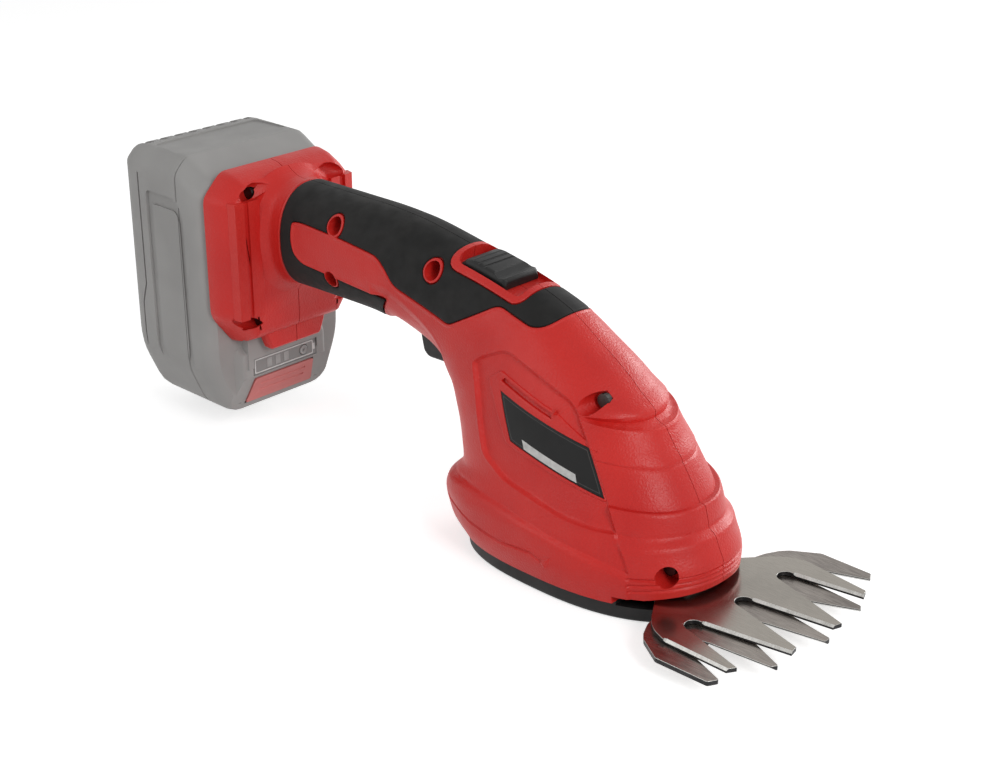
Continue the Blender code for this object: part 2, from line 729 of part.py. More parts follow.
def body_cavity():
    """The space inside the housing, less the ribs and columns that stand in it."""
    cavity = cutter("cavity", cavity_loft())
    shelf, rib = lock_shelf()
    shelves = cutter("motor_shelves", motor_shelves())
    cut(shelves, cutter("motor_room", cylinder("Z", (MOTOR_X, 0, 0), MOTOR_RADIUS + GAP, 0, 0.1, 32)))
    cut(cavity, cutter("columns", screw_columns()), cutter("lock_shelf", shelf), cutter("lock_rib", rib),
        shelves, cutter("base_shelves", base_shelves()), cutter("switch_shelves", switch_shelves()),
        cutter("pin_bosses", pin_bosses()), cutter("shoe_bosses", shoe_bosses()))
    return cavity


def skin(name, outline, outer, inner, low_y, high_y):
    """The layer of the body between two depths, inside a side-view outline."""
    layer = cutter(name, body_loft(outer))
    cut(layer, cutter(name + "_core", body_loft(inner)))
    keep(layer, cutter(name + "_outline", prism(outline, "Y", low_y, high_y)))
    return layer


def housing_cutters():
    neck, wide = slide_way()
    recesses, bores = screw_holes()
    half = TERMINAL_BLOCK_HIGH[1] + GAP
    passage = box((FOOT_BACK + RAIL_DEPTH - 0.05 * MM, -half, TERMINAL_BLOCK_LOW[2] - GAP),
                  (FOOT_FRONT + 1 * MM, half, TERMINAL_BLOCK_HIGH[2] + GAP))
    grip = skin("grip_pocket", in_mm(GRIP_OUTLINE), -1 * MM, GRIP_THICKNESS + GAP, -REACH, REACH)
    cut(grip, lock_rim("pocket"))
    plate = skin("plate_pocket", in_mm(PLATE_OUTLINE), -1 * MM, PLATE_THICKNESS + GAP, -REACH, 0)
    pin_hole = cylinder("Y", (TRIGGER_PIN_X, 0, TRIGGER_PIN_Z), TRIGGER_PIN_RADIUS + GAP,
                        -TRIGGER_PIN_HALF_LENGTH - GAP, TRIGGER_PIN_HALF_LENGTH + GAP, 12)
    under_nose = box((NOSE_BACK, -REACH, -10 * MM), (REACH, REACH, NOSE_UNDERSIDE))
    return [body_cavity(), cutter("slide_neck", neck), cutter("slide_wide", wide),
            cutter("passage", passage), grip, plate,
            cutter("lock_pocket", lock_pocket()), cutter("lock_slot", lock_slot()),
            cutter("trigger_opening", trigger_opening()), cutter("pin_hole", pin_hole),
            cutter("recesses", recesses), cutter("bores", bores), cutter("shoe_bores", shoe_screw_bores()),
            cutter("under_nose", under_nose)]


def lock_rim(name):
    """The red border of the lock pocket, which the grip leaves free."""
    length = LOCK_POCKET_HALF_LENGTH + LOCK_RIM
    width = LOCK_POCKET_HALF_WIDTH + LOCK_RIM
    return cutter("lock_rim_" + name, sloped_boxes(((-length, -width, -20 * MM), (length, width, 20 * MM))))


def half_space(name, side):
    low, high = sorted((side * SEAM, side * REACH))
    return cutter(name, box((-0.4, low, -0.1), (0.2, high, 0.3)))


def build_housing():
    cutters = housing_cutters()
    foot = cutter("foot", foot_block())
    lip = cutter("lip", foot_lip())
    for name, side in (("housing_right", -1), ("housing_left", 1)):
        half = piece(name, body_loft(0), "red_plastic")
        unite(half, foot, lip)
        keep(half, half_space("half_" + name, side))
        cut(half, *cutters)


def build_grips():
    outline = grown(in_mm(GRIP_OUTLINE), -GAP)
    recesses = cutter("grip_recesses", grip_holes())
    rim = lock_rim("grip")
    for name, side in (("grip_right", -1), ("grip_left", 1)):
        low, high = sorted((side * SEAM, side * REACH))
        grip = piece(name, body_loft(0), "black_rubber")
        cut(grip, cutter(name + "_core", body_loft(GRIP_THICKNESS)))
        keep(grip, cutter(name + "_outline", prism(outline, "Y", low, high)))
        cut(grip, rim, recesses)


def grip_holes():
    """Round holes in the grip where the screw columns come through."""
    shape = bmesh.new()
    for x, z, seat in SCREW_PLACES[2:5]:
        add_cylinder(shape, "Y", (x * MM, 0, z * MM), SCREW_RECESS_RADIUS + 1.2 * MM, -REACH, 0, 16)
    return shape


def build_rating_plate():
    plate = piece("rating_plate", body_loft(0), "label_black")
    cut(plate, cutter("rating_plate_core", body_loft(PLATE_THICKNESS)))
    keep(plate, cutter("rating_plate_outline", prism(grown(in_mm(PLATE_OUTLINE), -GAP), "Y", -REACH, 0)))


def screw_shape(axis, place, head_low, head_high, tip, sides=14):
    """A pan head and a shank on one axis; tip is the shank's end."""
    shape = cylinder(axis, place, SCREW_HEAD_RADIUS, head_low, head_high, sides)
    shank_low, shank_high = sorted((tip, head_high if tip > head_high else head_low))
    shank = cylinder(axis, place, SCREW_RADIUS, shank_low - 0.2 * MM, shank_high, 10)
    return shape, shank


def build_screws():
    for index, (x, z, seat) in enumerate(SCREW_PLACES):
        place = (x * MM, 0, z * MM)
        seat_y = -seat * MM
        head, shank = screw_shape("Y", place, seat_y - GAP - SCREW_HEAD_HEIGHT, seat_y - GAP, SCREW_GRIP)
        name = f"housing_screw_{index + 1}"
        unite(piece(name, head, "zinc_steel"), cutter(name, shank))
    for index, (x, y) in enumerate(SHOE_SCREW_PLACES):
        place = (x * MM, y * MM, 0)
        head, shank = screw_shape("Z", place, SHOE_HEAD_Z, SHOE_HEAD_Z + SCREW_HEAD_HEIGHT,
                                  SHOE_TOP + SCREW_GRIP)
        name = f"shoe_screw_{index + 1}"
        unite(piece(name, head, "zinc_steel"), cutter(name, shank))



def build_lock():
    rear = LOCK_REAR
    front = rear + LOCK_LENGTH
    half = LOCK_POCKET_HALF_WIDTH - 1.2 * MM
    low = -LOCK_POCKET_DEPTH + GAP
    side = ((rear, low), (front, low), (front, LOCK_PROUD - 1.4 * MM), (front - 3 * MM, LOCK_PROUD),
            (rear + 4 * MM, LOCK_PROUD - 0.6 * MM), (rear, LOCK_PROUD - 2.4 * MM))
    cap = prism(side, "Y", -half, half)
    top_edges = [edge for edge in cap.edges if abs(edge.verts[0].co.z - edge.verts[1].co.z) < 3 * MM
                 and min(vert.co.z for vert in edge.verts) > low + 1 * MM
                 and abs(edge.verts[0].co.y - edge.verts[1].co.y) < 1e-6]
    bmesh.ops.bevel(cap, geom=top_edges, offset=2.6 * MM, segments=2, profile=0.5, affect="EDGES",
                    material=-1)
    bmesh.ops.transform(cap, matrix=LOCK_MATRIX, verts=cap.verts)
    stem = sloped_boxes(((LOCK_STEM_REAR, -LOCK_STEM_HALF_WIDTH, -LOCK_POCKET_DEPTH - LOCK_STEM_DROP),
                         (LOCK_STEM_FRONT, LOCK_STEM_HALF_WIDTH, low + 0.5 * MM)))
    starts = [rear + (5.5 + 3.4 * step) * MM for step in range(LOCK_GROOVES)]
    grooves = sloped_boxes(*[((x, -REACH / 2, LOCK_PROUD - 0.9 * MM), (x + 0.6 * MM, REACH / 2, REACH))
                             for x in starts])
    button = piece("lock_button", cap, "black_plastic", (LOCK_X, 0, LOCK_Z))
    unite(button, cutter("lock_stem", stem))
    cut(button, cutter("lock_grooves", grooves))
    start = lock_point(LOCK_STEM_FRONT + GAP, 0, -LOCK_POCKET_DEPTH - LOCK_STEM_DROP + 3 * MM)
    spring("lock_spring", start, (math.cos(LOCK_SLOPE), 0, -math.sin(LOCK_SLOPE)), LOCK_SPRING_LENGTH,
           2.0 * MM, 0.3 * MM, 6, (LOCK_X, 0, LOCK_Z))


def build_trigger():
    pivot = (TRIGGER_PIN_X, 0, TRIGGER_PIN_Z)
    trigger = piece("trigger", prism(trigger_outline(), "Y", -TRIGGER_HALF_WIDTH, TRIGGER_HALF_WIDTH),
                    "black_plastic", pivot)
    hole = cylinder("Y", pivot, TRIGGER_PIN_RADIUS + 0.2 * MM, -REACH, REACH, 12)
    cut(trigger, cutter("trigger_hole", hole))
    pin = cylinder("Y", pivot, TRIGGER_PIN_RADIUS, -TRIGGER_PIN_HALF_LENGTH, TRIGGER_PIN_HALF_LENGTH, 12)
    piece("trigger_pin", pin, "zinc_steel", pivot)
    spring_room = SWITCH_LOW[2] - TRIGGER_TOP - 2 * GAP
    spring("trigger_spring", (TRIGGER_SPRING_X, 0, TRIGGER_TOP + GAP), (0, 0, 1), spring_room,
           TRIGGER_SPRING_RADIUS, 0.3 * MM, 4, (TRIGGER_SPRING_X, 0, TRIGGER_TOP))


def build_switch():
    body = piece("switch_body", box(SWITCH_LOW, SWITCH_HIGH), "black_plastic")
    half = PLUNGER_HALF_WIDTH
    low = TRIGGER_TOP + GAP
    top = low + PLUNGER_LENGTH
    room = box((PLUNGER_X - half - GAP, -half - GAP, SWITCH_LOW[2] - 1 * MM),
               (PLUNGER_X + half + GAP, half + GAP, top + PLUNGER_TRAVEL + 2 * GAP))
    cut(body, cutter("plunger_room", room))
    bar = box((PLUNGER_X - half, -half, low), (PLUNGER_X + half, half, top))
    piece("switch_plunger", bar, "white_nylon", (PLUNGER_X, 0, low))


def build_terminals():
    piece("terminal_block", box(TERMINAL_BLOCK_LOW, TERMINAL_BLOCK_HIGH), "black_plastic")
    block = bpy.data.objects["terminal_block"]
    pockets = bmesh.new()
    for name, y in (("terminal_plus", TERMINAL_Y), ("terminal_minus", -TERMINAL_Y)):
        half = TERMINAL_THICKNESS / 2
        low = (FOOT_BACK + 1.6 * MM, y - half, TERMINAL_LOW)
        high = (TERMINAL_BLOCK_LOW[0] + 6 * MM, y + half, TERMINAL_HIGH)
        piece(name, box(low, high), "brass")
        add_box(pockets, (TERMINAL_BLOCK_LOW[0] - 1 * MM, y - half - GAP, TERMINAL_LOW - GAP),
                (high[0] + GAP, y + half + GAP, TERMINAL_HIGH + GAP))
    cut(block, cutter("terminal_pockets", pockets))


def build_wires():
    """Four leads: from the terminal block to the switch, and from the switch to the motor."""
    block_end = TERMINAL_BLOCK_HIGH[0] + GAP
    switch_back = SWITCH_LOW[0] - GAP
    switch_front = SWITCH_HIGH[0] + GAP
    motor_top = MOTOR_HIGH + END_CAP_HEIGHT + 3 * GAP
    for sign, name, finish in ((1, "plus", "wire_red"), (-1, "minus", "wire_black")):
        y = sign * 4 * MM
        supply = [(block_end, sign * TERMINAL_Y, 95 * MM), (block_end + 8 * MM, sign * TERMINAL_Y, 95 * MM),
                  (-200 * MM, y * 1.2, 99 * MM), (-178 * MM, y, 101 * MM),
                  (switch_back - 8 * MM, y, 97 * MM), (switch_back, y, 96 * MM)]
        tube("supply_wire_" + name, smooth_path(supply, 3), WIRE_RADIUS, finish)
        drop = MOTOR_X - 8 * MM
        feed = [(switch_front, y, 96 * MM), (switch_front + 6 * MM, y, 96.5 * MM),
                (-103 * MM, y * 1.4, 97 * MM), (drop - 9 * MM, y * 1.8, 94.5 * MM),
                (drop - 1 * MM, sign * 8 * MM, 91 * MM), (drop, sign * 8 * MM, motor_top)]
        tube("motor_wire_" + name, smooth_path(feed, 3), WIRE_RADIUS, finish)


def build_motor():
    centre = (MOTOR_X, 0, 0)
    hole = SHAFT_RADIUS + 0.3 * MM
    floor = MOTOR_LOW + MOTOR_FLOOR
    can = [(hole, MOTOR_LOW), (MOTOR_RADIUS, MOTOR_LOW), (MOTOR_RADIUS, MOTOR_HIGH),
           (MOTOR_BORE, MOTOR_HIGH), (MOTOR_BORE, floor), (hole, floor)]
    piece("motor_can", turned(can, centre), "zinc_steel")
    low = MOTOR_HIGH + GAP
    rim = MOTOR_RADIUS - 0.5 * MM
    high = low + END_CAP_HEIGHT
    cap = [(hole, low), (rim, low), (rim, high - 1 * MM), (rim - 1 * MM, high), (hole, high)]
    piece("motor_end_cap", turned(cap, centre), "black_plastic")
    core_low = floor + 5 * MM
    core_high = MOTOR_HIGH - 7 * MM
    shaft_low = WHEEL_ONE_LOW - 1 * MM
    shaft_high = high - 1 * MM
    ring_high = core_high + COMMUTATOR_HEIGHT
    profile = [(0, shaft_low), (SHAFT_RADIUS, shaft_low), (SHAFT_RADIUS, core_low),
               (ARMATURE_RADIUS, core_low), (ARMATURE_RADIUS, core_high), (COMMUTATOR_RADIUS, core_high),
               (COMMUTATOR_RADIUS, ring_high), (SHAFT_RADIUS, ring_high), (SHAFT_RADIUS, shaft_high),
               (0, shaft_high)]
    piece("motor_rotor", axle_turned(profile, centre), "gear_steel", (MOTOR_X, 0, 0))


def axle_turned(profile, centre, sides=20):
    """A solid of revolution whose profile starts and ends on the axis."""
    shape = bmesh.new()
    corners = [shape.verts.new((centre[0] + radius, centre[1], z)) for radius, z in profile]
    edges = [shape.edges.new(pair) for pair in zip(corners, corners[1:])]
    bmesh.ops.spin(shape, geom=corners + edges, cent=(centre[0], centre[1], 0), axis=(0, 0, 1),
                   angle=2 * math.pi, steps=sides, use_merge=True)
    bmesh.ops.remove_doubles(shape, verts=shape.verts, dist=0.001 * MM)
    return shape


# Half the width of a tooth at its tip and at its root, as shares of the pitch
TOOTH_TIP_SHARE = 0.11
TOOTH_ROOT_SHARE = 0.31


def gear_outline(centre, teeth, module, tooth_angle):
    """Plan outline of a spur gear with one tooth centred on the given angle."""
    pitch = 2 * math.pi / teeth
    tip = module * (teeth / 2 + 1)
    root = module * (teeth / 2 - 1.25)
    outline = []
    for index in range(teeth):
        middle = tooth_angle + index * pitch
        for radius, share in ((root, -TOOTH_ROOT_SHARE), (tip, -TOOTH_TIP_SHARE), (tip, TOOTH_TIP_SHARE),
                              (root, TOOTH_ROOT_SHARE)):
            angle = middle + share * pitch
            outline.append((centre[0] + radius * math.cos(angle), centre[1] + radius * math.sin(angle)))
    return outline


STAGE_ONE_CENTRES = MODULE_ONE * (PINION_TEETH + WHEEL_ONE_TEETH) / 2
STAGE_TWO_CENTRES = MODULE_TWO * (PINION_TEETH + WHEEL_TWO_TEETH) / 2


def intermediate_centre():
    """The axle lies at the two centre distances from the motor's and the crank's axes."""
    span = CRANK_X - MOTOR_X
    along = (STAGE_ONE_CENTRES ** 2 - STAGE_TWO_CENTRES ** 2 + span ** 2) / (2 * span)
    across = math.sqrt(STAGE_ONE_CENTRES ** 2 - along ** 2)
    return MOTOR_X + along, across


def build_gears():
    x, y = intermediate_centre()
    toward_wheel = math.atan2(y, x - MOTOR_X)
    toward_crank = math.atan2(-y, CRANK_X - x)
    pinion = prism(gear_outline((MOTOR_X, 0), PINION_TEETH, MODULE_ONE, toward_wheel), "Z",
                   WHEEL_ONE_LOW - 0.5 * MM, WHEEL_ONE_HIGH + 1.5 * MM)
    pinion_object = piece("motor_pinion", pinion, "gear_steel", (MOTOR_X, 0, 0))
    bore = cylinder("Z", (MOTOR_X, 0, 0), SHAFT_RADIUS + 0.15 * MM, 0, WHEEL_ONE_HIGH + 5 * MM, 12)
    cut(pinion_object, cutter("pinion_bore", bore))

    gap_angle = toward_wheel + math.pi + math.pi / WHEEL_ONE_TEETH
    wheel = prism(gear_outline((x, y), WHEEL_ONE_TEETH, MODULE_ONE, gap_angle), "Z",
                  WHEEL_ONE_LOW, WHEEL_ONE_HIGH)
    wheel_object = piece("intermediate_gear", wheel, "gear_steel", (x, y, 0))
    small = prism(gear_outline((x, y), PINION_TEETH, MODULE_TWO, toward_crank), "Z",
                  WHEEL_TWO_LOW - 0.7 * MM, WHEEL_ONE_LOW + 0.5 * MM)
    unite(wheel_object, cutter("small_pinion", small))
    bore = cylinder("Z", (x, y, 0), AXLE_RADIUS + 0.2 * MM, 0, WHEEL_ONE_HIGH + 5 * MM, 14)
    cut(wheel_object, cutter("wheel_bore", bore))
    piece("intermediate_axle", cylinder("Z", (x, y, 0), AXLE_RADIUS, BASE_LOW, BASE_HIGH, 14), "zinc_steel")
    build_crank(toward_crank)


def build_crank(toward_crank):
    gap_angle = toward_crank + math.pi + math.pi / WHEEL_TWO_TEETH
    gear = prism(gear_outline((CRANK_X, 0), WHEEL_TWO_TEETH, MODULE_TWO, gap_angle), "Z", WHEEL_TWO_LOW,
                 WHEEL_TWO_HIGH)
    gear_object = piece("crank_gear", gear, "gear_steel", (CRANK_X, 0, 0))
    shaft = cylinder("Z", (CRANK_X, 0, 0), CRANK_SHAFT_RADIUS, WHEEL_TWO_HIGH - 0.5 * MM, BASE_HIGH, 16)
    pin = cylinder("Z", crank_pin_place(), CRANK_PIN_RADIUS, MOVING_HIGH + 0.5 * MM,
                   WHEEL_TWO_LOW + 0.5 * MM, 14)
    unite(gear_object, cutter("crank_shaft", shaft), cutter("crank_pin", pin))
    roller_low = MOVING_HIGH + 0.6 * MM
    roller = [(CRANK_PIN_RADIUS + 0.2 * MM, roller_low), (ROLLER_RADIUS, roller_low),
              (ROLLER_RADIUS, WHEEL_TWO_LOW - GAP), (CRANK_PIN_RADIUS + 0.2 * MM, WHEEL_TWO_LOW - GAP)]
    piece("crank_roller", turned(roller, crank_pin_place(), 18), "brass", crank_pin_place())


def crank_pin_place():
    """At rest the pin is turned so that the blade would stand at its rest angle."""
    turn = math.asin(math.tan(-MOVING_REST_ANGLE) * abs(CRANK_X) / CRANK_THROW)
    return (CRANK_X + CRANK_THROW * math.cos(turn), CRANK_THROW * math.sin(turn), 0)


def build_gear_base():
    """A frame with a lower and an upper plate and a wall at the back; the motor stands on the upper one."""
    half = BASE_HALF_WIDTH
    wall = box((BASE_BACK, -half, BASE_LOW), (BASE_BACK + 3 * MM, half, BASE_HIGH))
    base = piece("gear_base", wall, "cast_alloy")
    x, y = intermediate_centre()
    lower = cutter("base_lower", box((BASE_BACK + 1 * MM, -BASE_NOSE_HALF_WIDTH, BASE_LOW),
                                     (BASE_FRONT, BASE_NOSE_HALF_WIDTH, BASE_LOW + BASE_PLATE)))
    upper = cutter("base_upper", box((BASE_BACK + 1 * MM, -half + 0.01 * MM, BASE_HIGH - BASE_PLATE),
                                     (BASE_TOP_FRONT, half - 0.01 * MM, BASE_HIGH)))
    unite(base, lower, upper)
    holes = bmesh.new()
    top = BASE_HIGH + 1 * MM
    add_cylinder(holes, "Z", (MOTOR_X, 0, 0), MODULE_ONE * (PINION_TEETH / 2 + 1) + 1.4 * MM,
                 WHEEL_ONE_LOW, top, 20)
    add_cylinder(holes, "Z", (CRANK_X, 0, 0), CRANK_SHAFT_RADIUS + 0.2 * MM, WHEEL_TWO_HIGH, top, 16)
    add_cylinder(holes, "Z", (x, y, 0), AXLE_RADIUS + 0.15 * MM, 0, top, 14)
    add_cylinder(holes, "Z", (CRANK_X, 0, 0), CRANK_THROW + ROLLER_RADIUS + 0.8 * MM, 0, WHEEL_TWO_LOW, 20)
    add_cylinder(holes, "Z", (0, 0, 0), PIVOT_RADIUS + GAP, 0, WHEEL_TWO_LOW, 16)
    cut(base, cutter("base_holes", holes))


def fixed_outline():
    right = in_mm(FIXED_HALF_OUTLINE)
    return right + [(x, -y) for x, y in reversed(right)]


def moving_outline(arc_points=5):
    """Four teeth with round gullets between them, in the blade's middle position."""
    outline = [(x, -y) for x, y in reversed(in_mm(MOVING_TAIL))]
    for index, tip in enumerate(MOVING_TIPS):
        outline += in_mm(tip)
        if index < len(MOVING_GULLETS):
            centre = Vector(MOVING_GULLETS[index]) * MM
            for step in range(arc_points + 1):
                angle = -math.pi / 2 - math.pi * step / arc_points
                outline.append((centre.x + GULLET_RADIUS * math.cos(angle),
                                centre.y + GULLET_RADIUS * math.sin(angle)))
    return outline + in_mm(MOVING_TAIL)


def build_blades():
    plate = prism(fixed_outline(), "Z", FIXED_LOW, FIXED_LOW + FIXED_THICKNESS)
    fixed = piece("fixed_blade", plate, "blade_steel")
    cut(fixed, cutter("fixed_hole", cylinder("Z", (0, 0, 0), PIVOT_RADIUS + GAP, 0, BASE_HIGH, 16)))
    shape = prism(moving_outline(), "Z", MOVING_LOW, MOVING_HIGH)
    turn = Matrix.Rotation(MOVING_REST_ANGLE, 4, "Z")
    bmesh.ops.transform(shape, matrix=turn, verts=shape.verts)
    moving = piece("moving_blade", shape, "blade_steel", (0, 0, 0))
    slot_half = ROLLER_RADIUS + 0.3 * MM
    reach = slot_half + CRANK_THROW
    slot = box((CRANK_X - reach, -slot_half, 0), (CRANK_X + reach, slot_half, BASE_HIGH))
    bmesh.ops.transform(slot, matrix=turn, verts=slot.verts)
    cut(moving, cutter("moving_hole", cylinder("Z", (0, 0, 0), PIVOT_RADIUS + GAP, 0, BASE_HIGH, 16)),
        cutter("crank_slot", slot))
    build_pivot()


def build_pivot():
    head_top = FIXED_LOW - GAP
    head = cylinder("Z", (0, 0, 0), PIVOT_HEAD_RADIUS, SHOE_FLOOR + GAP, head_top, 16)
    shank = cutter("pivot_shank", cylinder("Z", (0, 0, 0), PIVOT_RADIUS, head_top - 0.5 * MM,
                                           BASE_LOW + BASE_PLATE, 16))
    unite(piece("pivot_bolt", head, "zinc_steel"), shank)
    low = MOVING_HIGH + GAP
    high = BASE_LOW - GAP
    inner = PIVOT_RADIUS + GAP
    ring = [(inner, low), (WASHER_RADIUS, low), (WASHER_RADIUS, high), (inner, high)]
    piece("wave_washer", turned(ring, (0, 0), 16), "zinc_steel")


def shoe_ring(inset, z):
    """The head's lower outline, drawn in, at a height."""
    ring = body_section(BODY_ROWS[-1], inset)
    return [(min(point.x, SHOE_FRONT - inset), point.y, z) for point in ring]


def build_shoe():
    outer = loft([shoe_ring(SHOE_TAPER + SHOE_EDGE, 0), shoe_ring(SHOE_TAPER, SHOE_EDGE),
                  shoe_ring(SHOE_INSET, SHOE_TOP)])
    shoe = piece("shoe", outer, "black_plastic")
    inset = SHOE_TAPER + SHOE_WALL
    room = loft([shoe_ring(inset, SHOE_FLOOR), shoe_ring(inset, SHOE_TOP + 1 * MM)])
    front = box((NOSE_BACK, -REACH, FIXED_LOW - GAP), (REACH, REACH, 0.05))
    bolt_room = cylinder("Z", (0, 0, 0), PIVOT_HEAD_RADIUS + 2 * GAP, SHOE_FLOOR, 0.05, 20)
    shanks = bmesh.new()
    heads = bmesh.new()
    for x, y in SHOE_SCREW_PLACES:
        place = (x * MM, y * MM, 0)
        add_cylinder(shanks, "Z", place, SCREW_RADIUS + GAP, -1 * MM, SHOE_TOP, 12)
        seat = SHOE_HEAD_Z + SCREW_HEAD_HEIGHT + GAP
        add_cylinder(heads, "Z", place, SCREW_HEAD_RADIUS + GAP, -1 * MM, seat, 14)
    posts = shoe_posts()
    cut(shoe, cutter("shoe_room", room))
    unite(shoe, cutter("shoe_posts", posts))
    cut(shoe, cutter("shoe_front", front), cutter("bolt_room", bolt_room), cutter("shoe_shanks", shanks),
        cutter("shoe_heads", heads))


def shoe_posts():
    """Round posts in the shoe that the screws clamp against the housing's bosses."""
    shape = bmesh.new()
    for x, y in SHOE_SCREW_PLACES:
        add_cylinder(shape, "Z", (x * MM, y * MM, 0), SHOE_POST_RADIUS, 0.5 * MM, SHOE_TOP, 16)
    return shape


def pack_outline(inset, lower=0.0):
    """The pack's outline as y, z pairs; lower cuts its top down."""
    half = PACK_HALF_WIDTH - inset
    top = PACK_TOP - inset - lower
    shoulder = half - PACK_TOP_CORNER
    flat = PACK_FLAT_HALF_WIDTH - inset * 0.7
    hip = PACK_BOTTOM + PACK_BOTTOM_CORNER + inset * 0.3
    right = [(-shoulder, top), (-half, top - PACK_TOP_CORNER), (-half, hip), (-flat, PACK_BOTTOM + inset)]
    return right + [(-y, z) for y, z in reversed(right)]


def pack_ring(x, inset, lower=0.0):
    return [(x, y, z) for y, z in pack_outline(inset, lower)]


def build_pack():
    back = loft([pack_ring(PACK_BACK, PACK_EDGE), pack_ring(PACK_BACK + PACK_EDGE * 0.3, PACK_EDGE * 0.3),
                 pack_ring(PACK_BACK + PACK_EDGE, 0), pack_ring(PACK_SPLIT - SEAM, 0)])
    rear = piece("battery_case_rear", back, "pack_grey")
    back = PACK_BACK + PACK_WALL
    room = loft([pack_ring(back, PACK_WALL + 1 * MM), pack_ring(back + 2 * MM, PACK_WALL),
                 pack_ring(PACK_SPLIT + 1 * MM, PACK_WALL)])
    cut(rear, cutter("pack_room_rear", room))
    build_pack_front()
    build_cells()


def build_pack_front():
    shell = loft([pack_ring(PACK_SPLIT + SEAM, 0), pack_ring(PACK_FRONT - 7 * MM, 0, PACK_SLOPE),
                  pack_ring(PACK_FRONT, 1.5 * MM, PACK_SLOPE)])
    front = piece("battery_case_front", shell, "pack_grey")
    chin = loft([chin_ring(PACK_FRONT - 3 * MM, 0), chin_ring(PACK_CHIN - 1.5 * MM, 0),
                 chin_ring(PACK_CHIN, 1.5 * MM)])
    neck, wide = pack_rail()
    unite(front, cutter("pack_chin", chin), cutter("pack_neck", neck), cutter("pack_wide", wide))
    room = loft([pack_ring(PACK_SPLIT - 1 * MM, PACK_WALL),
                 pack_ring(PACK_FRONT - PACK_WALL, PACK_WALL + 1 * MM, PACK_SLOPE)])
    backing = box((RELEASE_BACK - 2 * MM, -RELEASE_HALF_WIDTH - 2 * MM, PACK_BOTTOM),
                  (REACH, RELEASE_HALF_WIDTH + 2 * MM, GAUGE_LOW))
    pack_room = cut(cutter("pack_room_front", room), cutter("release_backing", backing))
    release_room = box((RELEASE_BACK - GAP, -RELEASE_HALF_WIDTH - GAP, RELEASE_LOW - GAP),
                       (REACH, RELEASE_HALF_WIDTH + GAP, RELEASE_HIGH + GAP))
    gauge_room = box((PACK_CHIN - GAUGE_THICKNESS - GAP, -GAUGE_HALF_WIDTH - GAP, GAUGE_LOW - GAP),
                     (REACH, GAUGE_HALF_WIDTH + GAP, GAUGE_HIGH + GAP))
    button_room = cylinder("X", (0, GAUGE_BUTTON_Y, GAUGE_MIDDLE), GAUGE_BUTTON_RADIUS + GAP,
                           PACK_CHIN - 3.2 * MM, 0, 16)
    cut(front, pack_room, *terminal_slots(), cutter("release_room", release_room),
        cutter("gauge_room", gauge_room), cutter("button_room", button_room))
    build_pack_buttons()


def pack_rail():
    """The T-shaped rail that runs in the foot's slide way."""
    top = RAIL_TOP - GAP
    shoulder = FOOT_BACK + RAIL_NECK + GAP
    neck = box((PACK_FRONT - 1 * MM, -RAIL_NECK_HALF_WIDTH + GAP, PACK_CHIN_TOP - 8 * MM),
               (shoulder + 1 * MM, RAIL_NECK_HALF_WIDTH - GAP, top))
    wide = box((shoulder, -RAIL_HALF_WIDTH + GAP, FOOT_BOTTOM + 3 * MM),
               (FOOT_BACK + RAIL_DEPTH - GAP, RAIL_HALF_WIDTH - GAP, top - 1 * MM))
    return neck, wide


def terminal_slots():
    """Holes in the front wall for the board's posts, and slots for the contacts, open at the rail's top."""
    holes = bmesh.new()
    slots = bmesh.new()
    low = TERMINAL_LOW - 2 * MM
    for y in (-TERMINAL_Y, TERMINAL_Y):
        add_box(holes, (PACK_FRONT - PACK_WALL - 1 * MM, y - 1.2 * MM, low),
                (PACK_FRONT + 1 * MM, y + 1.2 * MM, TERMINAL_LOW + 9 * MM))
        add_box(slots, (PACK_FRONT + 0.4 * MM, y - 1.4 * MM, low - 1 * MM),
                (FOOT_FRONT, y + 1.4 * MM, RAIL_TOP + 1 * MM))
    return cutter("post_holes", holes), cutter("contact_slots", slots)


def chin_ring(x, inset):
    half = CHIN_HALF_WIDTH - inset
    top = PACK_CHIN_TOP - inset
    bottom = PACK_BOTTOM + PACK_EDGE + inset
    right = [(-half, top), (-half, bottom + CHIN_CORNER), (-half + CHIN_CORNER * 0.8, bottom)]
    return [(x, y, z) for y, z in right + [(-y, z) for y, z in reversed(right)]]


def build_pack_buttons():
    low = (PACK_CHIN - RELEASE_DEPTH, -RELEASE_HALF_WIDTH, RELEASE_LOW)
    high = (PACK_CHIN + 0.6 * MM, RELEASE_HALF_WIDTH, RELEASE_HIGH)
    piece("release_button", box(low, high), "pack_red", (PACK_CHIN, 0, RELEASE_LOW))
    start = (RELEASE_BACK, 0, (RELEASE_LOW + RELEASE_HIGH) / 2)
    spring("release_spring", start, (1, 0, 0), RELEASE_TRAVEL, 2.6 * MM, 0.25 * MM, 2,
           (PACK_CHIN, 0, RELEASE_LOW))
    panel = piece("gauge_panel", box((PACK_CHIN - GAUGE_THICKNESS, -GAUGE_HALF_WIDTH, GAUGE_LOW),
                                     (PACK_CHIN, GAUGE_HALF_WIDTH, GAUGE_HIGH)), "label_black")
    place = (0, GAUGE_BUTTON_Y, GAUGE_MIDDLE)
    hole = cylinder("X", place, GAUGE_BUTTON_RADIUS + GAP, PACK_CHIN - 3 * MM, 0, 16)
    cut(panel, cutter("gauge_hole", hole))
    button = cylinder("X", place, GAUGE_BUTTON_RADIUS, PACK_CHIN - 2.3 * MM, PACK_CHIN + 0.4 * MM, 16)
    piece("gauge_button", button, "black_rubber", (PACK_CHIN, GAUGE_BUTTON_Y, GAUGE_MIDDLE))


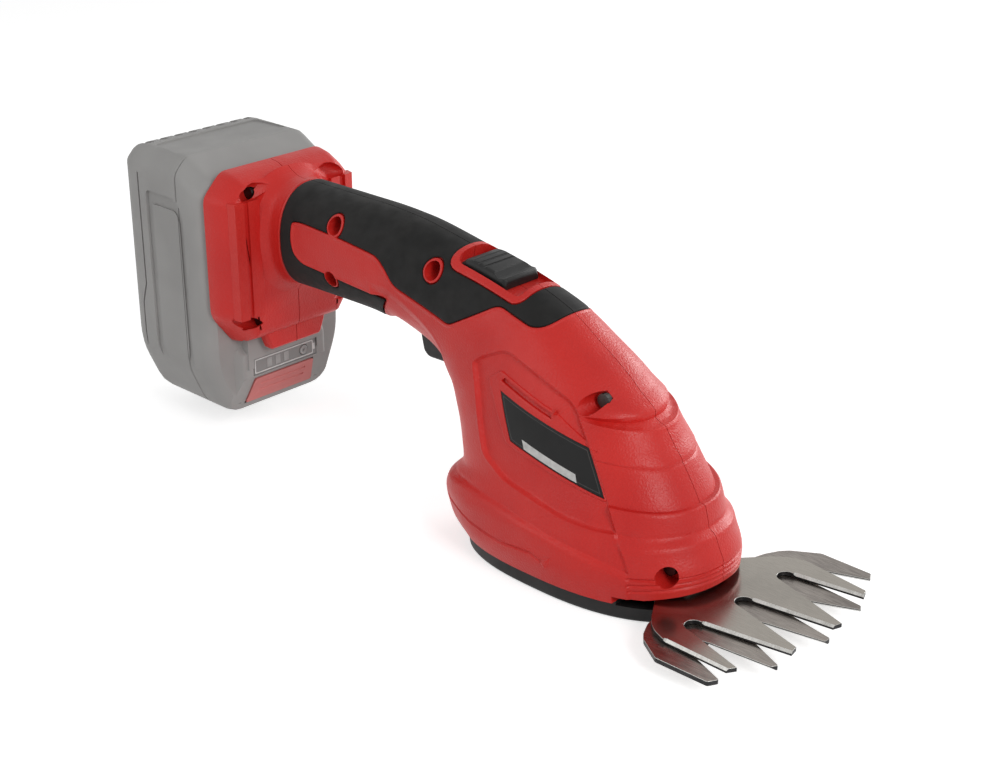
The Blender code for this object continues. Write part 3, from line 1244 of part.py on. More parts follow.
def build_cells():
    first_x = PACK_BACK + PACK_WALL + 2 * GAP + CELL_RADIUS
    number = 0
    for column in range(CELL_COLUMNS):
        for row in range(CELL_ROWS):
            number += 1
            place = (first_x + column * CELL_PITCH, 0, CELL_FIRST_Z + row * CELL_PITCH)
            cell = cylinder("Y", place, CELL_RADIUS, -CELL_LENGTH / 2, CELL_LENGTH / 2, 20)
            piece(f"cell_{number:02d}", cell, "cell_green")
    low = first_x + (CELL_COLUMNS - 1) * CELL_PITCH + CELL_RADIUS + 2 * GAP
    front = low + BOARD_THICKNESS
    half = BOARD_HALF_WIDTH
    board = piece("battery_board", box((low, -half, BOARD_LOW), (front, half, BOARD_HIGH)), "board_green")
    posts = bmesh.new()
    for y in (-TERMINAL_Y, TERMINAL_Y):
        add_box(posts, (front - 0.2 * MM, y - 0.9 * MM, TERMINAL_LOW),
                (FOOT_BACK + 1.2 * MM, y + 0.9 * MM, TERMINAL_LOW + 8 * MM))
    unite(board, cutter("board_posts", posts))


def main():
    clear_scene()
    build_housing()
    build_grips()
    build_rating_plate()
    build_screws()
    build_lock()
    build_trigger()
    build_switch()
    build_terminals()
    build_wires()
    build_motor()
    build_gears()
    build_gear_base()
    build_blades()
    build_shoe()
    build_pack()


main()
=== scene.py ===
import math

import bmesh
import bpy
import numpy as np
from mathutils import Matrix, Vector


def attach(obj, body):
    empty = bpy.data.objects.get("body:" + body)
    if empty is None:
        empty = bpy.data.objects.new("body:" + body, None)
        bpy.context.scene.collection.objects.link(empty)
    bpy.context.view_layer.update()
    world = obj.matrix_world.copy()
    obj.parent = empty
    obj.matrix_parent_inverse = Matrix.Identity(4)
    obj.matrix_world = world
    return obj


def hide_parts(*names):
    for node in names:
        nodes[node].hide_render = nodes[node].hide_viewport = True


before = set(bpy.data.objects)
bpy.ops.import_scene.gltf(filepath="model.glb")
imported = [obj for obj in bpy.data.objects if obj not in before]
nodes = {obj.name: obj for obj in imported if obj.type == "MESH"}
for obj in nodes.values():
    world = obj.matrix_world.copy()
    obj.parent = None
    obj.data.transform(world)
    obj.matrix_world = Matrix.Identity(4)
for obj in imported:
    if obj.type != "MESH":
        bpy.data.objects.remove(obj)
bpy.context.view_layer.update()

mm = 0.001
alongX = (1, 0, 0)
alongZ = (0, 0, 1)


# small helpers

def addObject(name, shape, material, sharpAngle=38, smooth=True):
    # turns a bmesh into an object that shades smooth up to an angle
    mesh = bpy.data.meshes.new(name)
    shape.to_mesh(mesh)
    shape.free()
    made = bpy.data.objects.new(name, mesh)
    if smooth:
        finishShading(made, sharpAngle)
    bpy.context.scene.collection.objects.link(made)
    if material:
        mesh.materials.append(material)
    return made


def carve(target, cutter, operation="DIFFERENCE"):
    # one boolean, applied at once; both meshes are closed, and the cutter is used up
    modifier = target.modifiers.new("carve", "BOOLEAN")
    modifier.operation = operation
    modifier.solver = "MANIFOLD"
    modifier.object = cutter
    graph = bpy.context.evaluated_depsgraph_get()
    graph.update()
    old = target.data
    target.data = bpy.data.meshes.new_from_object(target.evaluated_get(graph))
    target.data.name = old.name
    target.modifiers.clear()
    bpy.data.meshes.remove(old)
    bpy.data.objects.remove(cutter)
    return target


def finishShading(made, sharpAngle=38):
    made.data.shade_smooth()
    made.data.set_sharp_from_angle(angle=math.radians(sharpAngle))


def addBox(shape, low, high):
    low = Vector(low) * mm
    high = Vector(high) * mm
    place = Matrix.Translation((low + high) / 2) @ Matrix.Diagonal((*(high - low), 1))
    return bmesh.ops.create_cube(shape, size=1, matrix=place)["verts"]


def addRod(shape, axis, centre, radius, low, high, sides=32, farRadius=None):
    # a round bar along an axis, from low to high on it
    middle = Vector(centre) * mm
    index = "XYZ".index(axis)
    middle[index] = (low + high) / 2 * mm
    turn = {"X": Matrix.Rotation(math.pi / 2, 4, "Y"), "Y": Matrix.Rotation(-math.pi / 2, 4, "X"),
            "Z": Matrix.Identity(4)}[axis]
    far = radius if farRadius is None else farRadius
    return bmesh.ops.create_cone(shape, cap_ends=True, segments=sides, radius1=radius * mm, radius2=far * mm,
                                 depth=(high - low) * mm, matrix=Matrix.Translation(middle) @ turn)["verts"]


def addLoft(shape, rings):
    # a closed body through rings with the same number of points, in mm
    loops = []
    for ring in rings:
        verts = [shape.verts.new(Vector(spot) * mm) for spot in ring]
        loops.append([shape.edges.new(pair) for pair in zip(verts, verts[1:] + verts[:1])])
    for first, second in zip(loops, loops[1:]):
        bmesh.ops.bridge_loops(shape, edges=first + second)
    for loop in (loops[0], loops[-1]):
        bmesh.ops.contextual_create(shape, geom=loop)
    return [vert for edge in loops[0] for vert in edge.verts]


def addPrism(shape, view, outline, low, high):
    # a bar with the outline as its section, along the view's depth, in mm
    rings = [[fromView(view, pair, depth) / mm for pair in outline] for depth in (low, high)]
    addLoft(shape, rings)


def solid(*builders):
    # one bmesh made by several add calls, each given as a function and its arguments
    shape = bmesh.new()
    for builder, *arguments in builders:
        builder(shape, *arguments)
    bmesh.ops.recalc_face_normals(shape, faces=shape.faces)
    bmesh.ops.triangulate(shape, faces=[face for face in shape.faces if len(face.verts) > 3])
    return shape


def cutterFrom(*builders):
    return addObject("cutter", solid(*builders), None, smooth=False)


pieces = {}


def declare(made, bodyName, node):
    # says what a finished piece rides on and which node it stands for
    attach(made, bodyName)
    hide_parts(node)
    pieces[made.name] = made


# views in which lines are drawn: a point, the view's right and its up
lockFrame = {"x": -99.5, "z": 112.4, "slope": 12}
lockSlope = math.radians(lockFrame["slope"])
lockOrigin = Vector((lockFrame["x"], 0, lockFrame["z"])) * mm
lockAlong = Vector((math.cos(lockSlope), 0, -math.sin(lockSlope)))
lockUp = Vector((math.sin(lockSlope), 0, math.cos(lockSlope)))
views = {
    "side": (Vector((0, 0, 0)), Vector((1, 0, 0)), Vector((0, 0, 1))),
    "front": (Vector((0, 0, 0)), Vector((0, 1, 0)), Vector((0, 0, 1))),
    "plan": (Vector((0, 0, 0)), Vector((1, 0, 0)), Vector((0, 1, 0))),
    "lock": (lockOrigin, lockAlong, Vector((0, 1, 0))),
}


def inView(view, point):
    origin, right, up = views[view]
    return ((point - origin).dot(right) / mm, (point - origin).dot(up) / mm)


def fromView(view, pair, depth=0.0):
    origin, right, up = views[view]
    return origin + (right * pair[0] + up * pair[1] + right.cross(up) * depth) * mm


def turnSign(line):
    total = sum(a[0] * b[1] - b[0] * a[1] for a, b in zip(line, line[1:] + line[:1]))
    return 1 if total > 0 else -1


def shifted(line, distance, closed=True):
    # the line moved sideways: outward on a closed line, to the right of an open one
    sign = turnSign(line) if closed else 1
    moved = []
    count = len(line)
    for index, spot in enumerate(line):
        here = Vector(spot)
        before = here - Vector(line[index - 1]) if closed or index > 0 else None
        after = Vector(line[(index + 1) % count]) - here if closed or index < count - 1 else None
        before = before or after
        after = after or before
        first = Vector((before.y, -before.x)).normalized() * sign
        second = Vector((after.y, -after.x)).normalized() * sign
        middle = first + second
        moved.append(tuple(here + middle * (2 * distance / max(middle.length_squared, 0.6))))
    return moved


def rounded(line, radius, steps=3):
    # a closed line with its corners rounded; radius is one number or one for each corner
    result = []
    count = len(line)
    for index, spot in enumerate(line):
        size = radius[index] if isinstance(radius, (list, tuple)) else radius
        here = Vector(spot)
        if size == 0:
            result.append(spot)
            continue
        before = Vector(line[index - 1]) - here
        after = Vector(line[(index + 1) % count]) - here
        reach = min(size, before.length * 0.45, after.length * 0.45)
        start = here + before.normalized() * reach
        end = here + after.normalized() * reach
        for step in range(steps + 1):
            share = step / steps
            result.append(tuple(start * (1 - share) ** 2 + here * 2 * share * (1 - share) + end * share ** 2))
    return result


def circleLine(centre, radius, sides=24):
    return [(centre[0] + radius * math.cos(2 * math.pi * n / sides),
             centre[1] + radius * math.sin(2 * math.pi * n / sides)) for n in range(sides)]


def ringRound(centre, first, second, radius, sides):
    # points on a circle round a centre, in the plane of two directions
    turns = [2 * math.pi * n / sides for n in range(sides)]
    return [Vector(centre) + (Vector(first) * math.cos(a) + Vector(second) * math.sin(a)) * radius for a in turns]


def distanceTo(spots, line, closed=True):
    # distance of many view points from a line, negative inside a closed one
    spots = np.array(spots)
    ends = line + line[:1] if closed else line
    best = np.full(len(spots), 1e9)
    inside = np.zeros(len(spots), bool)
    for (ax, ay), (bx, by) in zip(ends, ends[1:]):
        run = np.array((bx - ax, by - ay))
        offset = spots - (ax, ay)
        share = np.clip(offset @ run / max(run @ run, 1e-12), 0, 1)
        best = np.minimum(best, np.hypot(*(offset - share[:, None] * run).T))
        if closed and ay != by:
            crossing = ax + (spots[:, 1] - ay) * (bx - ax) / (by - ay)
            inside ^= ((ay > spots[:, 1]) != (by > spots[:, 1])) & (spots[:, 0] < crossing)
    return np.where(inside, -best, best)


def score(shape, view, line, offsets, closed=True, reach=2.6):
    # cuts edges into a mesh along a line, once for each distance from it
    origin, right, up = views[view]
    depth = right.cross(up)
    spots = [inView(view, face.calc_center_median()) for face in shape.faces]
    lows = [min(pair[axis] for pair in line) - 6 for axis in (0, 1)]
    highs = [max(pair[axis] for pair in line) + 6 for axis in (0, 1)]
    zone = [face for face, spot in zip(shape.faces, spots)
            if lows[0] < spot[0] < highs[0] and lows[1] < spot[1] < highs[1]]
    for offset in offsets:
        track = shifted(line, offset, closed)
        for start, end in zip(track, track[1:] + track[:1] if closed else track[1:]):
            first = fromView(view, start)
            run = fromView(view, end) - first
            length = run.length
            if length < 1e-6:
                continue
            run.normalize()
            across = run.cross(depth)
            near = []
            zone = [face for face in zone if face.is_valid]
            for face in zone:
                gap = face.calc_center_median() - first
                if abs(gap.dot(across)) < reach * mm and -reach * mm < gap.dot(run) < length + reach * mm:
                    near.append(face)
            if not near:
                continue
            geom = set(near)
            for face in near:
                geom.update(face.edges)
                geom.update(face.verts)
            cut = bmesh.ops.bisect_plane(shape, geom=list(geom), dist=0.00002, plane_co=first, plane_no=across)
            zone += [item for item in cut["geom"] if isinstance(item, bmesh.types.BMFace)]
            zone = list(dict.fromkeys(zone))


def heightOf(spots, line, profile, closed=True):
    # height above the plain surface, from a table of distance and height
    away = distanceTo(spots, line, closed)
    return np.interp(away, [pair[0] for pair in profile], [pair[1] for pair in profile])


print("helpers ready")


# the body's section planes in mm: top x and z, under x and z, share of the widening from handle to head,
# where the section is widest from under (0) to top (1), and its roundness above and below that
body = {
    "handleHalfWidth": 18.5,
    "headHalfWidth": 38.5,
    "seam": 0.12,
    "cell": 1.9,
    "sides": 50,
    "between": -150,   # an x between the half's two open ends
    "rows": (
        (-231, 126, -231, 63, 0.47, 0.50, 2.3, 2.3),
        (-227, 123.5, -227, 70, 0.18, 0.50, 2.2, 2.3),
        (-221, 122, -221, 75, 0.0, 0.50, 2.2, 2.3),
        (-172, 122, -172, 76, 0.0, 0.50, 2.2, 2.3),
        (-150, 121, -155, 75, 0.025, 0.50, 2.2, 2.3),
        (-118, 116, -138, 71, 0.05, 0.50, 2.2, 2.3),
        (-95, 111.5, -127, 67, 0.125, 0.48, 2.2, 2.4),
        (-65, 102, -119, 60, 0.275, 0.46, 2.25, 2.5),
        (-50, 93, -115, 53, 0.40, 0.46, 2.3, 2.6),
        (-35, 83, -112, 47, 0.525, 0.47, 2.3, 2.7),
        (-20, 69, -110, 40, 0.625, 0.48, 2.3, 2.8),
        (-7, 54, -109, 34, 0.725, 0.48, 2.3, 2.8),
        (2, 41, -112, 29, 0.875, 0.48, 2.3, 2.8),
        (8, 28, -114.5, 23, 1.0, 0.48, 2.3, 2.8),
        (12, 19, -112, 15, 1.0, 0.48, 2.3, 2.8),
        (11, 7.5, -105, 7.5, 0.92, 0.48, 2.3, 2.8),
    ),
}


def bodyRow(step):
    # a row between the given ones, on a smooth curve that doesn't overshoot
    rows = body["rows"]
    index = min(max(int(step), 0), len(rows) - 2)
    share = step - index
    result = []
    for column in range(8):
        values = [rows[min(max(index + shift, 0), len(rows) - 1)][column] for shift in (-1, 0, 1, 2)]
        rises = [values[1] - values[0], values[2] - values[1], values[3] - values[2]]
        slopes = []
        for first, second in zip(rises, rises[1:]):
            slopes.append(0 if first * second <= 0 else 2 * first * second / (first + second))
        if index == 0:
            slopes[0] = rises[1]
        if index == len(rows) - 2:
            slopes[1] = rises[1]
        squared = share * share
        cubed = squared * share
        result.append((2 * cubed - 3 * squared + 1) * values[1] + (cubed - 2 * squared + share) * slopes[0]
                      + (3 * squared - 2 * cubed) * values[2] + (cubed - squared) * slopes[1])
    return result


def bodyPoint(row, angle, inset=0.0):
    # a point of the body's surface; angle 0 is the top seam and pi the lower one, on the -Y side
    topX, topZ, underX, underZ, share, widest, upper, lower = row
    top = Vector((topX, 0, topZ))
    under = Vector((underX, 0, underZ))
    rise = (top - under).normalized()
    top -= rise * inset
    under += rise * inset
    half = body["handleHalfWidth"] + share * (body["headHalfWidth"] - body["handleHalfWidth"]) - inset
    lift = math.cos(angle)
    power = upper if lift > 0 else lower
    span = (1 - widest) if lift > 0 else widest
    height = widest + span * math.copysign(abs(lift) ** (2 / power), lift)
    side = math.sin(angle)
    point = under + (top - under) * height
    point.y = -half * math.copysign(abs(side) ** (2 / power), side)
    return point * mm


def rowSteps(first, last, cell):
    # row positions about one cell apart along the body
    marks = [first + (last - first) * n / 400 for n in range(401)]
    lengths = [0.0]
    for before, after in zip(marks, marks[1:]):
        a = bodyRow(before)
        b = bodyRow(after)
        lengths.append(lengths[-1] + max(math.hypot(a[0] - b[0], a[1] - b[1]), math.hypot(a[2] - b[2], a[3] - b[3])))
    count = max(int(lengths[-1] / cell), 2)
    return [float(np.interp(lengths[-1] * n / count, lengths, marks)) for n in range(count + 1)]


def surfaceSheet(first, last, cell, sides, inset=0.0):
    # half of the body's surface between two rows, open at the seam, as a bent grid
    steps = rowSteps(first, last, cell)
    rows = [bodyRow(step) for step in steps]
    sheet = bmesh.new()
    grid = bmesh.ops.create_grid(sheet, x_segments=len(steps) - 1, y_segments=sides, size=0.5)
    for vert in grid["verts"]:
        row = rows[round((vert.co.x + 0.5) * (len(steps) - 1))]
        vert.co = bodyPoint(row, (vert.co.y + 0.5) * math.pi, inset)
    bmesh.ops.recalc_face_normals(sheet, faces=sheet.faces)
    if sum(face.normal.y * face.calc_area() for face in sheet.faces) > 0:
        bmesh.ops.reverse_faces(sheet, faces=sheet.faces)
    return sheet


def closeHalf(sheet, seam):
    # moves the open edge to the seam plane and closes the half with flat faces
    for vert in sheet.verts:
        if vert.co.y > -seam * mm:
            vert.co.y = -seam * mm
    rim = [edge for edge in sheet.edges if edge.is_boundary]
    onSeam = [edge for edge in rim if all(abs(vert.co.y + seam * mm) < 1e-7 for vert in edge.verts)]
    ends = [edge for edge in rim if edge not in set(onSeam)]
    loops = [[], []]
    for edge in ends:
        centre = (edge.verts[0].co.x + edge.verts[1].co.x) / 2
        loops[0 if centre < body["between"] * mm else 1].append(edge)
    closing = []
    for loop in loops:
        counts = {}
        for edge in loop:
            for vert in edge.verts:
                counts[vert] = counts.get(vert, 0) + 1
        loose = [vert for vert, times in counts.items() if times == 1]
        edge = sheet.edges.new(loose)
        closing.append(edge)
        bmesh.ops.contextual_create(sheet, geom=loop + [edge])
    bmesh.ops.triangle_fill(sheet, edges=onSeam + closing, use_beauty=True)
    bmesh.ops.triangulate(sheet, faces=[face for face in sheet.faces if len(face.verts) > 4])
    bmesh.ops.recalc_face_normals(sheet, faces=sheet.faces)
    return sheet


# lines on the body, drawn from the side as x, z in mm
gripLine = rounded([
    (-216.6, 135), (-216.6, 66), (-165, 66), (-160, 77), (-151, 88.7), (-167, 88.9), (-185, 90.3), (-203, 91.5),
    (-208, 95), (-209.5, 101), (-209.5, 108.7), (-204, 109.4), (-178, 108.2), (-156, 106.3), (-150.5, 102.5),
    (-145.3, 96.5), (-129, 92.6), (-112, 89), (-99.6, 96), (-88.7, 102.3), (-80, 99.9), (-71.8, 97.6),
    (-66.5, 98.5), (-62, 103.5), (-60, 135)],
    [0.5, 0.5, 2, 6, 1.5, 4, 4, 3, 3, 3, 1.5, 2.5, 4, 3, 3, 3, 8, 2.2, 5, 2.6, 4, 3, 3, 5, 0.5], 3)
panelLine = rounded([
    (-95.4, 79), (-91.2, 82.9), (-81.2, 87.7), (-76.3, 88.1), (-60.3, 82.7), (-46, 77.4), (-40.6, 72.6),
    (-31.6, 60.8), (-20.6, 44.2), (-15.0, 34.6), (-21, 34.1), (-37.8, 35), (-53.3, 37.8), (-70.8, 39.8),
    (-83.4, 45.3), (-86.5, 52.5), (-90.8, 65.7)],
    [1.5, 3, 3, 2, 5, 2, 2, 3, 3, 1, 3, 5, 5, 4, 3, 4, 4], 3)
innerLine = rounded([
    (-86.6, 75.4), (-80.4, 80.4), (-50, 71.9), (-34.6, 64), (-22.4, 44.8), (-72.4, 53.6)], 1.4, 3)
slotLine = [(-79.2, 76.5), (-77.8, 78.2), (-52.9, 71.6), (-51.7, 69.3)]
plateLine = [(-79, 73), (-70.3, 55.2), (-23.5, 45.8), (-34, 62.5)]
creaseLine = [(-42.2, 78), (-41.2, 72.1), (-32.4, 60.4), (-21.3, 43.7), (-16.2, 34.7), (-12.5, 28), (-9.1, 21),
              (-8, 6)]
skirtLine = [(-135, 24), (-118, 27.4), (-104, 29.6), (-92, 31.6), (-80, 31.8), (-67.7, 31.2), (-51, 29),
             (-36.6, 26.6), (-23.3, 24.6), (-11.8, 21.5), (4, 18), (4, -20), (-135, -20)]
trimLine = [(-102, 21.6), (-94, 20.6), (-84, 18.2), (-66, 16.6), (-50, 17.9), (-44.5, 16.4)]
trimEnd = rounded([(-44.8, 16.2), (-39.6, 19.9), (-42, 13.6)], 0.4, 2)
guardLine = [(-150, 94.5), (-140, 91), (-130.5, 86.5), (-123, 82), (-119, 78.3), (-117, 74.8), (-115.5, 66),
             (-115.5, 50), (-160, 50), (-160, 94.5)]

# how high the surface stands at each distance from a line: negative is inside the line
profiles = {
    "grip": [(-0.5, -1.8), (-0.25, -1.7), (0.0, -0.1), (0.25, 0.18), (0.7, 0.26), (1.1, 0.12), (1.4, 0.0)],
    "panel": [(-1.7, -1.75), (-1.1, -1.62), (-0.35, -0.75), (0.0, -0.1), (0.3, 0.1), (1.4, 0.0)],
    "inner": [(-1.0, 0.55), (-0.55, 0.62), (-0.15, 0.5), (0.1, 0.0)],
    "slot": [(-0.35, -1.5), (-0.12, -1.4), (0.05, -0.1), (0.3, 0.0)],
    "plate": [(-0.3, -0.8), (-0.1, -0.75), (0.0, 0.0), (0.2, 0.0)],
    "skirt": [(-5.0, 1.45), (-2.4, 1.4), (-1.1, 0.95), (-0.1, 0.0), (0.25, -0.12), (1.2, 0.0)],
    "trim": [(0.0, -0.75), (0.3, -0.5), (0.7, 0.0)],
    "trimEnd": [(-1.0, 0.8), (-0.5, 0.6), (0.0, 0.0)],
    "guard": [(-8.0, -1.2), (-4.0, -1.0), (-0.2, 0.1), (0.5, 0.12), (1.6, 0.0)],
}

# the ledges round the nose: z at the crease, x and z at the centre seam, height there
noseLedges = (
    (78.0, -27.5, 77.5, 0.2),
    (74.4, -24.0, 74.0, 1.0),
    (73.3, -23.0, 72.9, 1.05),
    (72.8, -22.6, 72.2, 0.7),
    (72.4, -22.0, 71.2, -0.95),
    (71.9, -19.4, 69.0, -0.25),
    (71.3, -16.8, 67.4, 1.25),
    (70.8, -16.2, 66.6, 1.3),
    (70.2, -15.6, 65.8, 0.95),
    (66.5, -13.2, 62.0, 0.35),
    (59.1, -9.3, 56.9, 0.25),
    (58.5, -9.0, 56.2, -0.3),
    (57.9, -8.6, 55.5, -0.1),
    (44.9, -0.8, 43.7, -1.05),
    (44.2, 0.0, 42.9, -1.15),
    (43.5, 1.9, 42.0, 0.5),
    (42.9, 2.4, 41.3, 0.85),
    (41.8, 2.8, 40.4, 0.7),
    (35.4, 5.0, 35.2, -0.35),
    (34.5, 5.3, 34.3, -0.75),
    (33.6, 5.8, 33.6, -0.7),
    (30.6, 7.6, 31.8, 0.75),
    (29.6, 8.2, 30.8, 1.3),
    (28.2, 8.8, 29.6, 1.35),
    (23.0, 11.2, 23.4, 1.0),
    (19.6, 11.9, 20.9, 0.8),
)
noseGrooves = ((18.6, 20.2), (15.9, 18.4), (13.2, 16.6))   # z at the near side and at the seam


def creaseAt(z):
    return float(np.interp(z, [21, 34.7, 43.7, 60.4, 72.1], [-9.1, -16.2, -21.3, -32.4, -41.2]))


def ledgeHeight(x, z):
    # height of the nose surface between its ledges
    marks = []
    for nearZ, seamX, seamZ, rise in noseLedges:
        creaseX = creaseAt(nearZ)
        share = np.clip((x - creaseX) / (seamX - creaseX), 0, 1)
        marks.append(nearZ + (seamZ - nearZ) * share)
    rises = [ledge[3] for ledge in noseLedges]
    return float(np.interp(z, marks[::-1], rises[::-1]))


def scoreNose(shape):
    for nearZ, seamX, seamZ, rise in noseLedges:
        score(shape, "side", [(creaseAt(nearZ), nearZ), (seamX, seamZ)], [0], closed=False)
    for nearZ, seamZ in noseGrooves:
        score(shape, "side", [(-12, nearZ), (13, seamZ)], [-0.7, -0.35, 0, 0.35, 0.7], closed=False)
    score(shape, "side", creaseLine, [-0.6, 0, 0.6], closed=False)


noseZone = creaseLine + [(30, 6), (30, 78)]
lockRimLine = rounded([(-20, -13.6), (20, -13.6), (20, 13.6), (-20, 13.6)], [6, 5, 5, 6], 5)
gripHoles = ((-183.4, 112.5, 4.8), (-124.9, 107.5, 4.8), (-185.3, 89, 4.15))


def lockDistance(verts):
    # distance from the red border round the lock button, far away for points under it
    away = distanceTo([inView("lock", vert.co) for vert in verts], lockRimLine)
    top = np.array([vert.co.z > lockOrigin.z - 0.03 for vert in verts])
    return np.where(top, away, 99)


def holeDistance(spots):
    return np.min([distanceTo(spots, circleLine((x, z), radius)) for x, z, radius in gripHoles], axis=0)


def noseHeight(x, z):
    start = float(np.interp(z, [6, 21, 34.7, 43.7, 60.4, 72.1, 78], [-8, -9.1, -16.2, -21.3, -32.4, -41.2, -42.2]))
    rise = ledgeHeight(x, z)
    if z > 62:
        rise *= min(max((x - start) / 7.0, 0.15), 1.0)
    for nearZ, seamZ in noseGrooves:
        middle = nearZ + (seamZ - nearZ) * (x + 12) / 25
        depth = float(np.interp(abs(z - middle), [0, 0.35, 0.7], [-0.75, -0.55, 0.0]))
        rise += depth * min(max((x + 11) / 1.5, 0), 1)
    return rise


def raiseBody(shape, features, holes):
    # moves every point along its normal by the height of the lines around it
    shape.normal_update()
    verts = list(shape.verts)
    spots = np.array([inView("side", vert.co) for vert in verts])
    pocket = heightOf(spots, gripLine, profiles["grip"])
    rim = lockDistance(verts)
    pocket = np.where(rim < 0.3, np.interp(rim, [-0.2, 0.0, 0.3], [0.3, 0.15, -1.8]), pocket)
    if holes:
        pocket = np.maximum(pocket, np.interp(holeDistance(spots), [-0.6, -0.25, 0.1], [0.15, 0.05, -1.8]))
    total = pocket.copy()
    for line, profile, closed in features:
        total += heightOf(spots, line, profiles[profile], closed)
    weight = np.interp(distanceTo(spots, noseZone), [-0.6, 0.6], [1, 0])
    for index in np.nonzero(weight)[0]:
        rise = noseHeight(*spots[index]) + min(pocket[index], 0)
        total[index] = total[index] * (1 - weight[index]) + rise * weight[index]
    liftVerts(verts, total)


def liftVerts(verts, rises):
    # moves points along their normals, in mm; points on the seam stay on it
    normals = [vert.normal.copy() for vert in verts]
    for vert, normal, rise in zip(verts, normals, rises):
        if vert.co.y > -1e-6:
            normal.y = 0
            normal.normalize()
        vert.co += normal * float(rise) * mm


def scoreFeatures(sheet, features):
    for line, profile, closed in features:
        offsets = [pair[0] for pair in profiles[profile]]
        if not closed:
            offsets = sorted(set(offsets + [-value for value in offsets]))
        score(sheet, "side", line, offsets, closed)


def tidySheet(sheet):
    bmesh.ops.triangulate(sheet, faces=sheet.faces, quad_method="BEAUTY", ngon_method="BEAUTY")
    bmesh.ops.dissolve_degenerate(sheet, dist=0.00003, edges=sheet.edges)
    bmesh.ops.triangulate(sheet, faces=[face for face in sheet.faces if len(face.verts) > 3])
    flaps = [face for face in sheet.faces if sum(edge.is_boundary for edge in face.edges) == 2
             and any(len(edge.link_faces) > 2 for edge in face.edges)]
    bmesh.ops.delete(sheet, geom=flaps, context="FACES")


commonFeatures = [
    (panelLine, "panel", True), (innerLine, "inner", True), (slotLine, "slot", True), (skirtLine, "skirt", True),
    (trimLine, "trim", False), (trimEnd, "trimEnd", True), (guardLine, "guard", True)]
plateFeature = [(plateLine, "plate", True)]

# the common marks are cut once, then the right half gets its screw holes and the plate's bed
leftSheet = surfaceSheet(0, 15, body["cell"], body["sides"])
score(leftSheet, "side", gripLine, [pair[0] for pair in profiles["grip"]])
score(leftSheet, "lock", lockRimLine, [-0.2, 0.0, 0.3])
scoreFeatures(leftSheet, commonFeatures)
scoreNose(leftSheet)
rightSheet = leftSheet.copy()
scoreFeatures(rightSheet, plateFeature)
for x, z, radius in gripHoles:
    score(rightSheet, "side", circleLine((x, z), radius), [-0.6, -0.25, 0.1])
tidySheet(leftSheet)
tidySheet(rightSheet)
raiseBody(leftSheet, commonFeatures, False)
raiseBody(rightSheet, commonFeatures + plateFeature, True)
closeHalf(leftSheet, body["seam"])
closeHalf(rightSheet, body["seam"])
print("body halves shaped:", len(rightSheet.faces), "and", len(leftSheet.faces), "faces")


# battery foot at the handle's rear end, one half of it, with its flutes and the lip over the pack's chin
foot = {
    "outline": [(-0.15, 126.5), (-28, 126.5), (-38, 116.5), (-38, 62), (-26.7, 47), (-0.15, 47)],
    "corners": [0, 3, 3, 4, 3, 0],
    "rings": ((-243, 0.0), (-242.6, 0.0), (-237, 0.9), (-231.2, 3.5), (-229.2, 4.8), (-228.2, 6.2), (-227.8, 8.6)),
    "lip": [(-0.15, 42.4), (-13.5, 42.4), (-14.8, 43.2), (-17.6, 50), (-17.6, 54), (-0.15, 54)],
    "lipRings": ((-235.1, 0.0), (-232.0, 0.0), (-231.0, 0.4), (-230.4, 1.2)),
    "flutes": ((-33.6, -29.0), (-26.2, -20.8)),
    "fluteLow": 62.5,
    "fluteHigh": 116,
    "leaves": (
        ((-228.6, -30.2, 117.3, 0.4), (-228.9, -28, 117.5, 2.5), (-229.1, -24, 118.6, 3.6),
         (-229.1, -20.5, 119.2, 3.6), (-228.7, -16.5, 119.8, 2.2), (-228.3, -13, 119.3, 1.2),
         (-227.9, -10.2, 118.9, 0.3)),
        ((-231.5, -35.2, 61.2, 1.2), (-230.6, -32.4, 61, 3.0), (-229.6, -28.4, 60.4, 3.4),
         (-228.8, -24.5, 59.4, 2.4), (-228.2, -21, 58.5, 0.4)),
    ),
}


def footRing(outline, x, inset):
    line = shifted(outline, -inset) if inset else outline
    return [(x, min(y, -0.15) if index not in (0, len(line) - 1) else -0.15, z)
            for index, (y, z) in enumerate(line)]


def footHalf():
    outline = rounded(foot["outline"], foot["corners"], 3)
    lip = rounded(foot["lip"], [0, 1, 1, 1, 0, 0], 2)
    made = addObject("footHalf", solid((addLoft, [footRing(outline, x, inset) for x, inset in foot["rings"]])), None)
    carve(made, addObject("lip", solid((addLoft, [footRing(lip, x, inset) for x, inset in foot["lipRings"]])), None),
          "UNION")
    for outer, inner in foot["flutes"]:
        section = [(outer - 0.9, -231), (outer, -226.9), (inner, -226.3), (inner + 0.8, -231)]
        low, high = foot["fluteLow"], foot["fluteHigh"]
        rings = [[(x, y, z) for y, x in section] for z in (low, high)]
        carve(made, cutterFrom((addLoft, rings)), "UNION")
    for leaf in foot["leaves"]:
        # a leaf-shaped hollow where a screw's recess runs out over the face
        carve(made, cutterFrom((addLoft, [ringRound(spot, alongX, alongZ, radius, 20) for *spot, radius in leaf])))
    return made


# what is cut out of each half: room inside, screw recesses, the lock's pocket, the rail's way, the trigger's slot
screwPlaces = (
    (-234, 117, 18, (-232.4, -27, 117.6), 3.3), (-231.8, 58.4, 18, (-231.6, -30, 59.6), 3.3),
    (-183.4, 112.5, 6, (-183.4, -60, 112.5), 3.7), (-124.9, 107.5, 6, (-124.9, -60, 107.5), 3.7),
    (-185.3, 89, 8, (-185.3, -60, 89), 3.5), (-36.9, 77.4, 12, (-45, -46, 74.9), 3.7),
    (0.2, 20.6, 14, (11.2, -46, 20.6), 4.3))


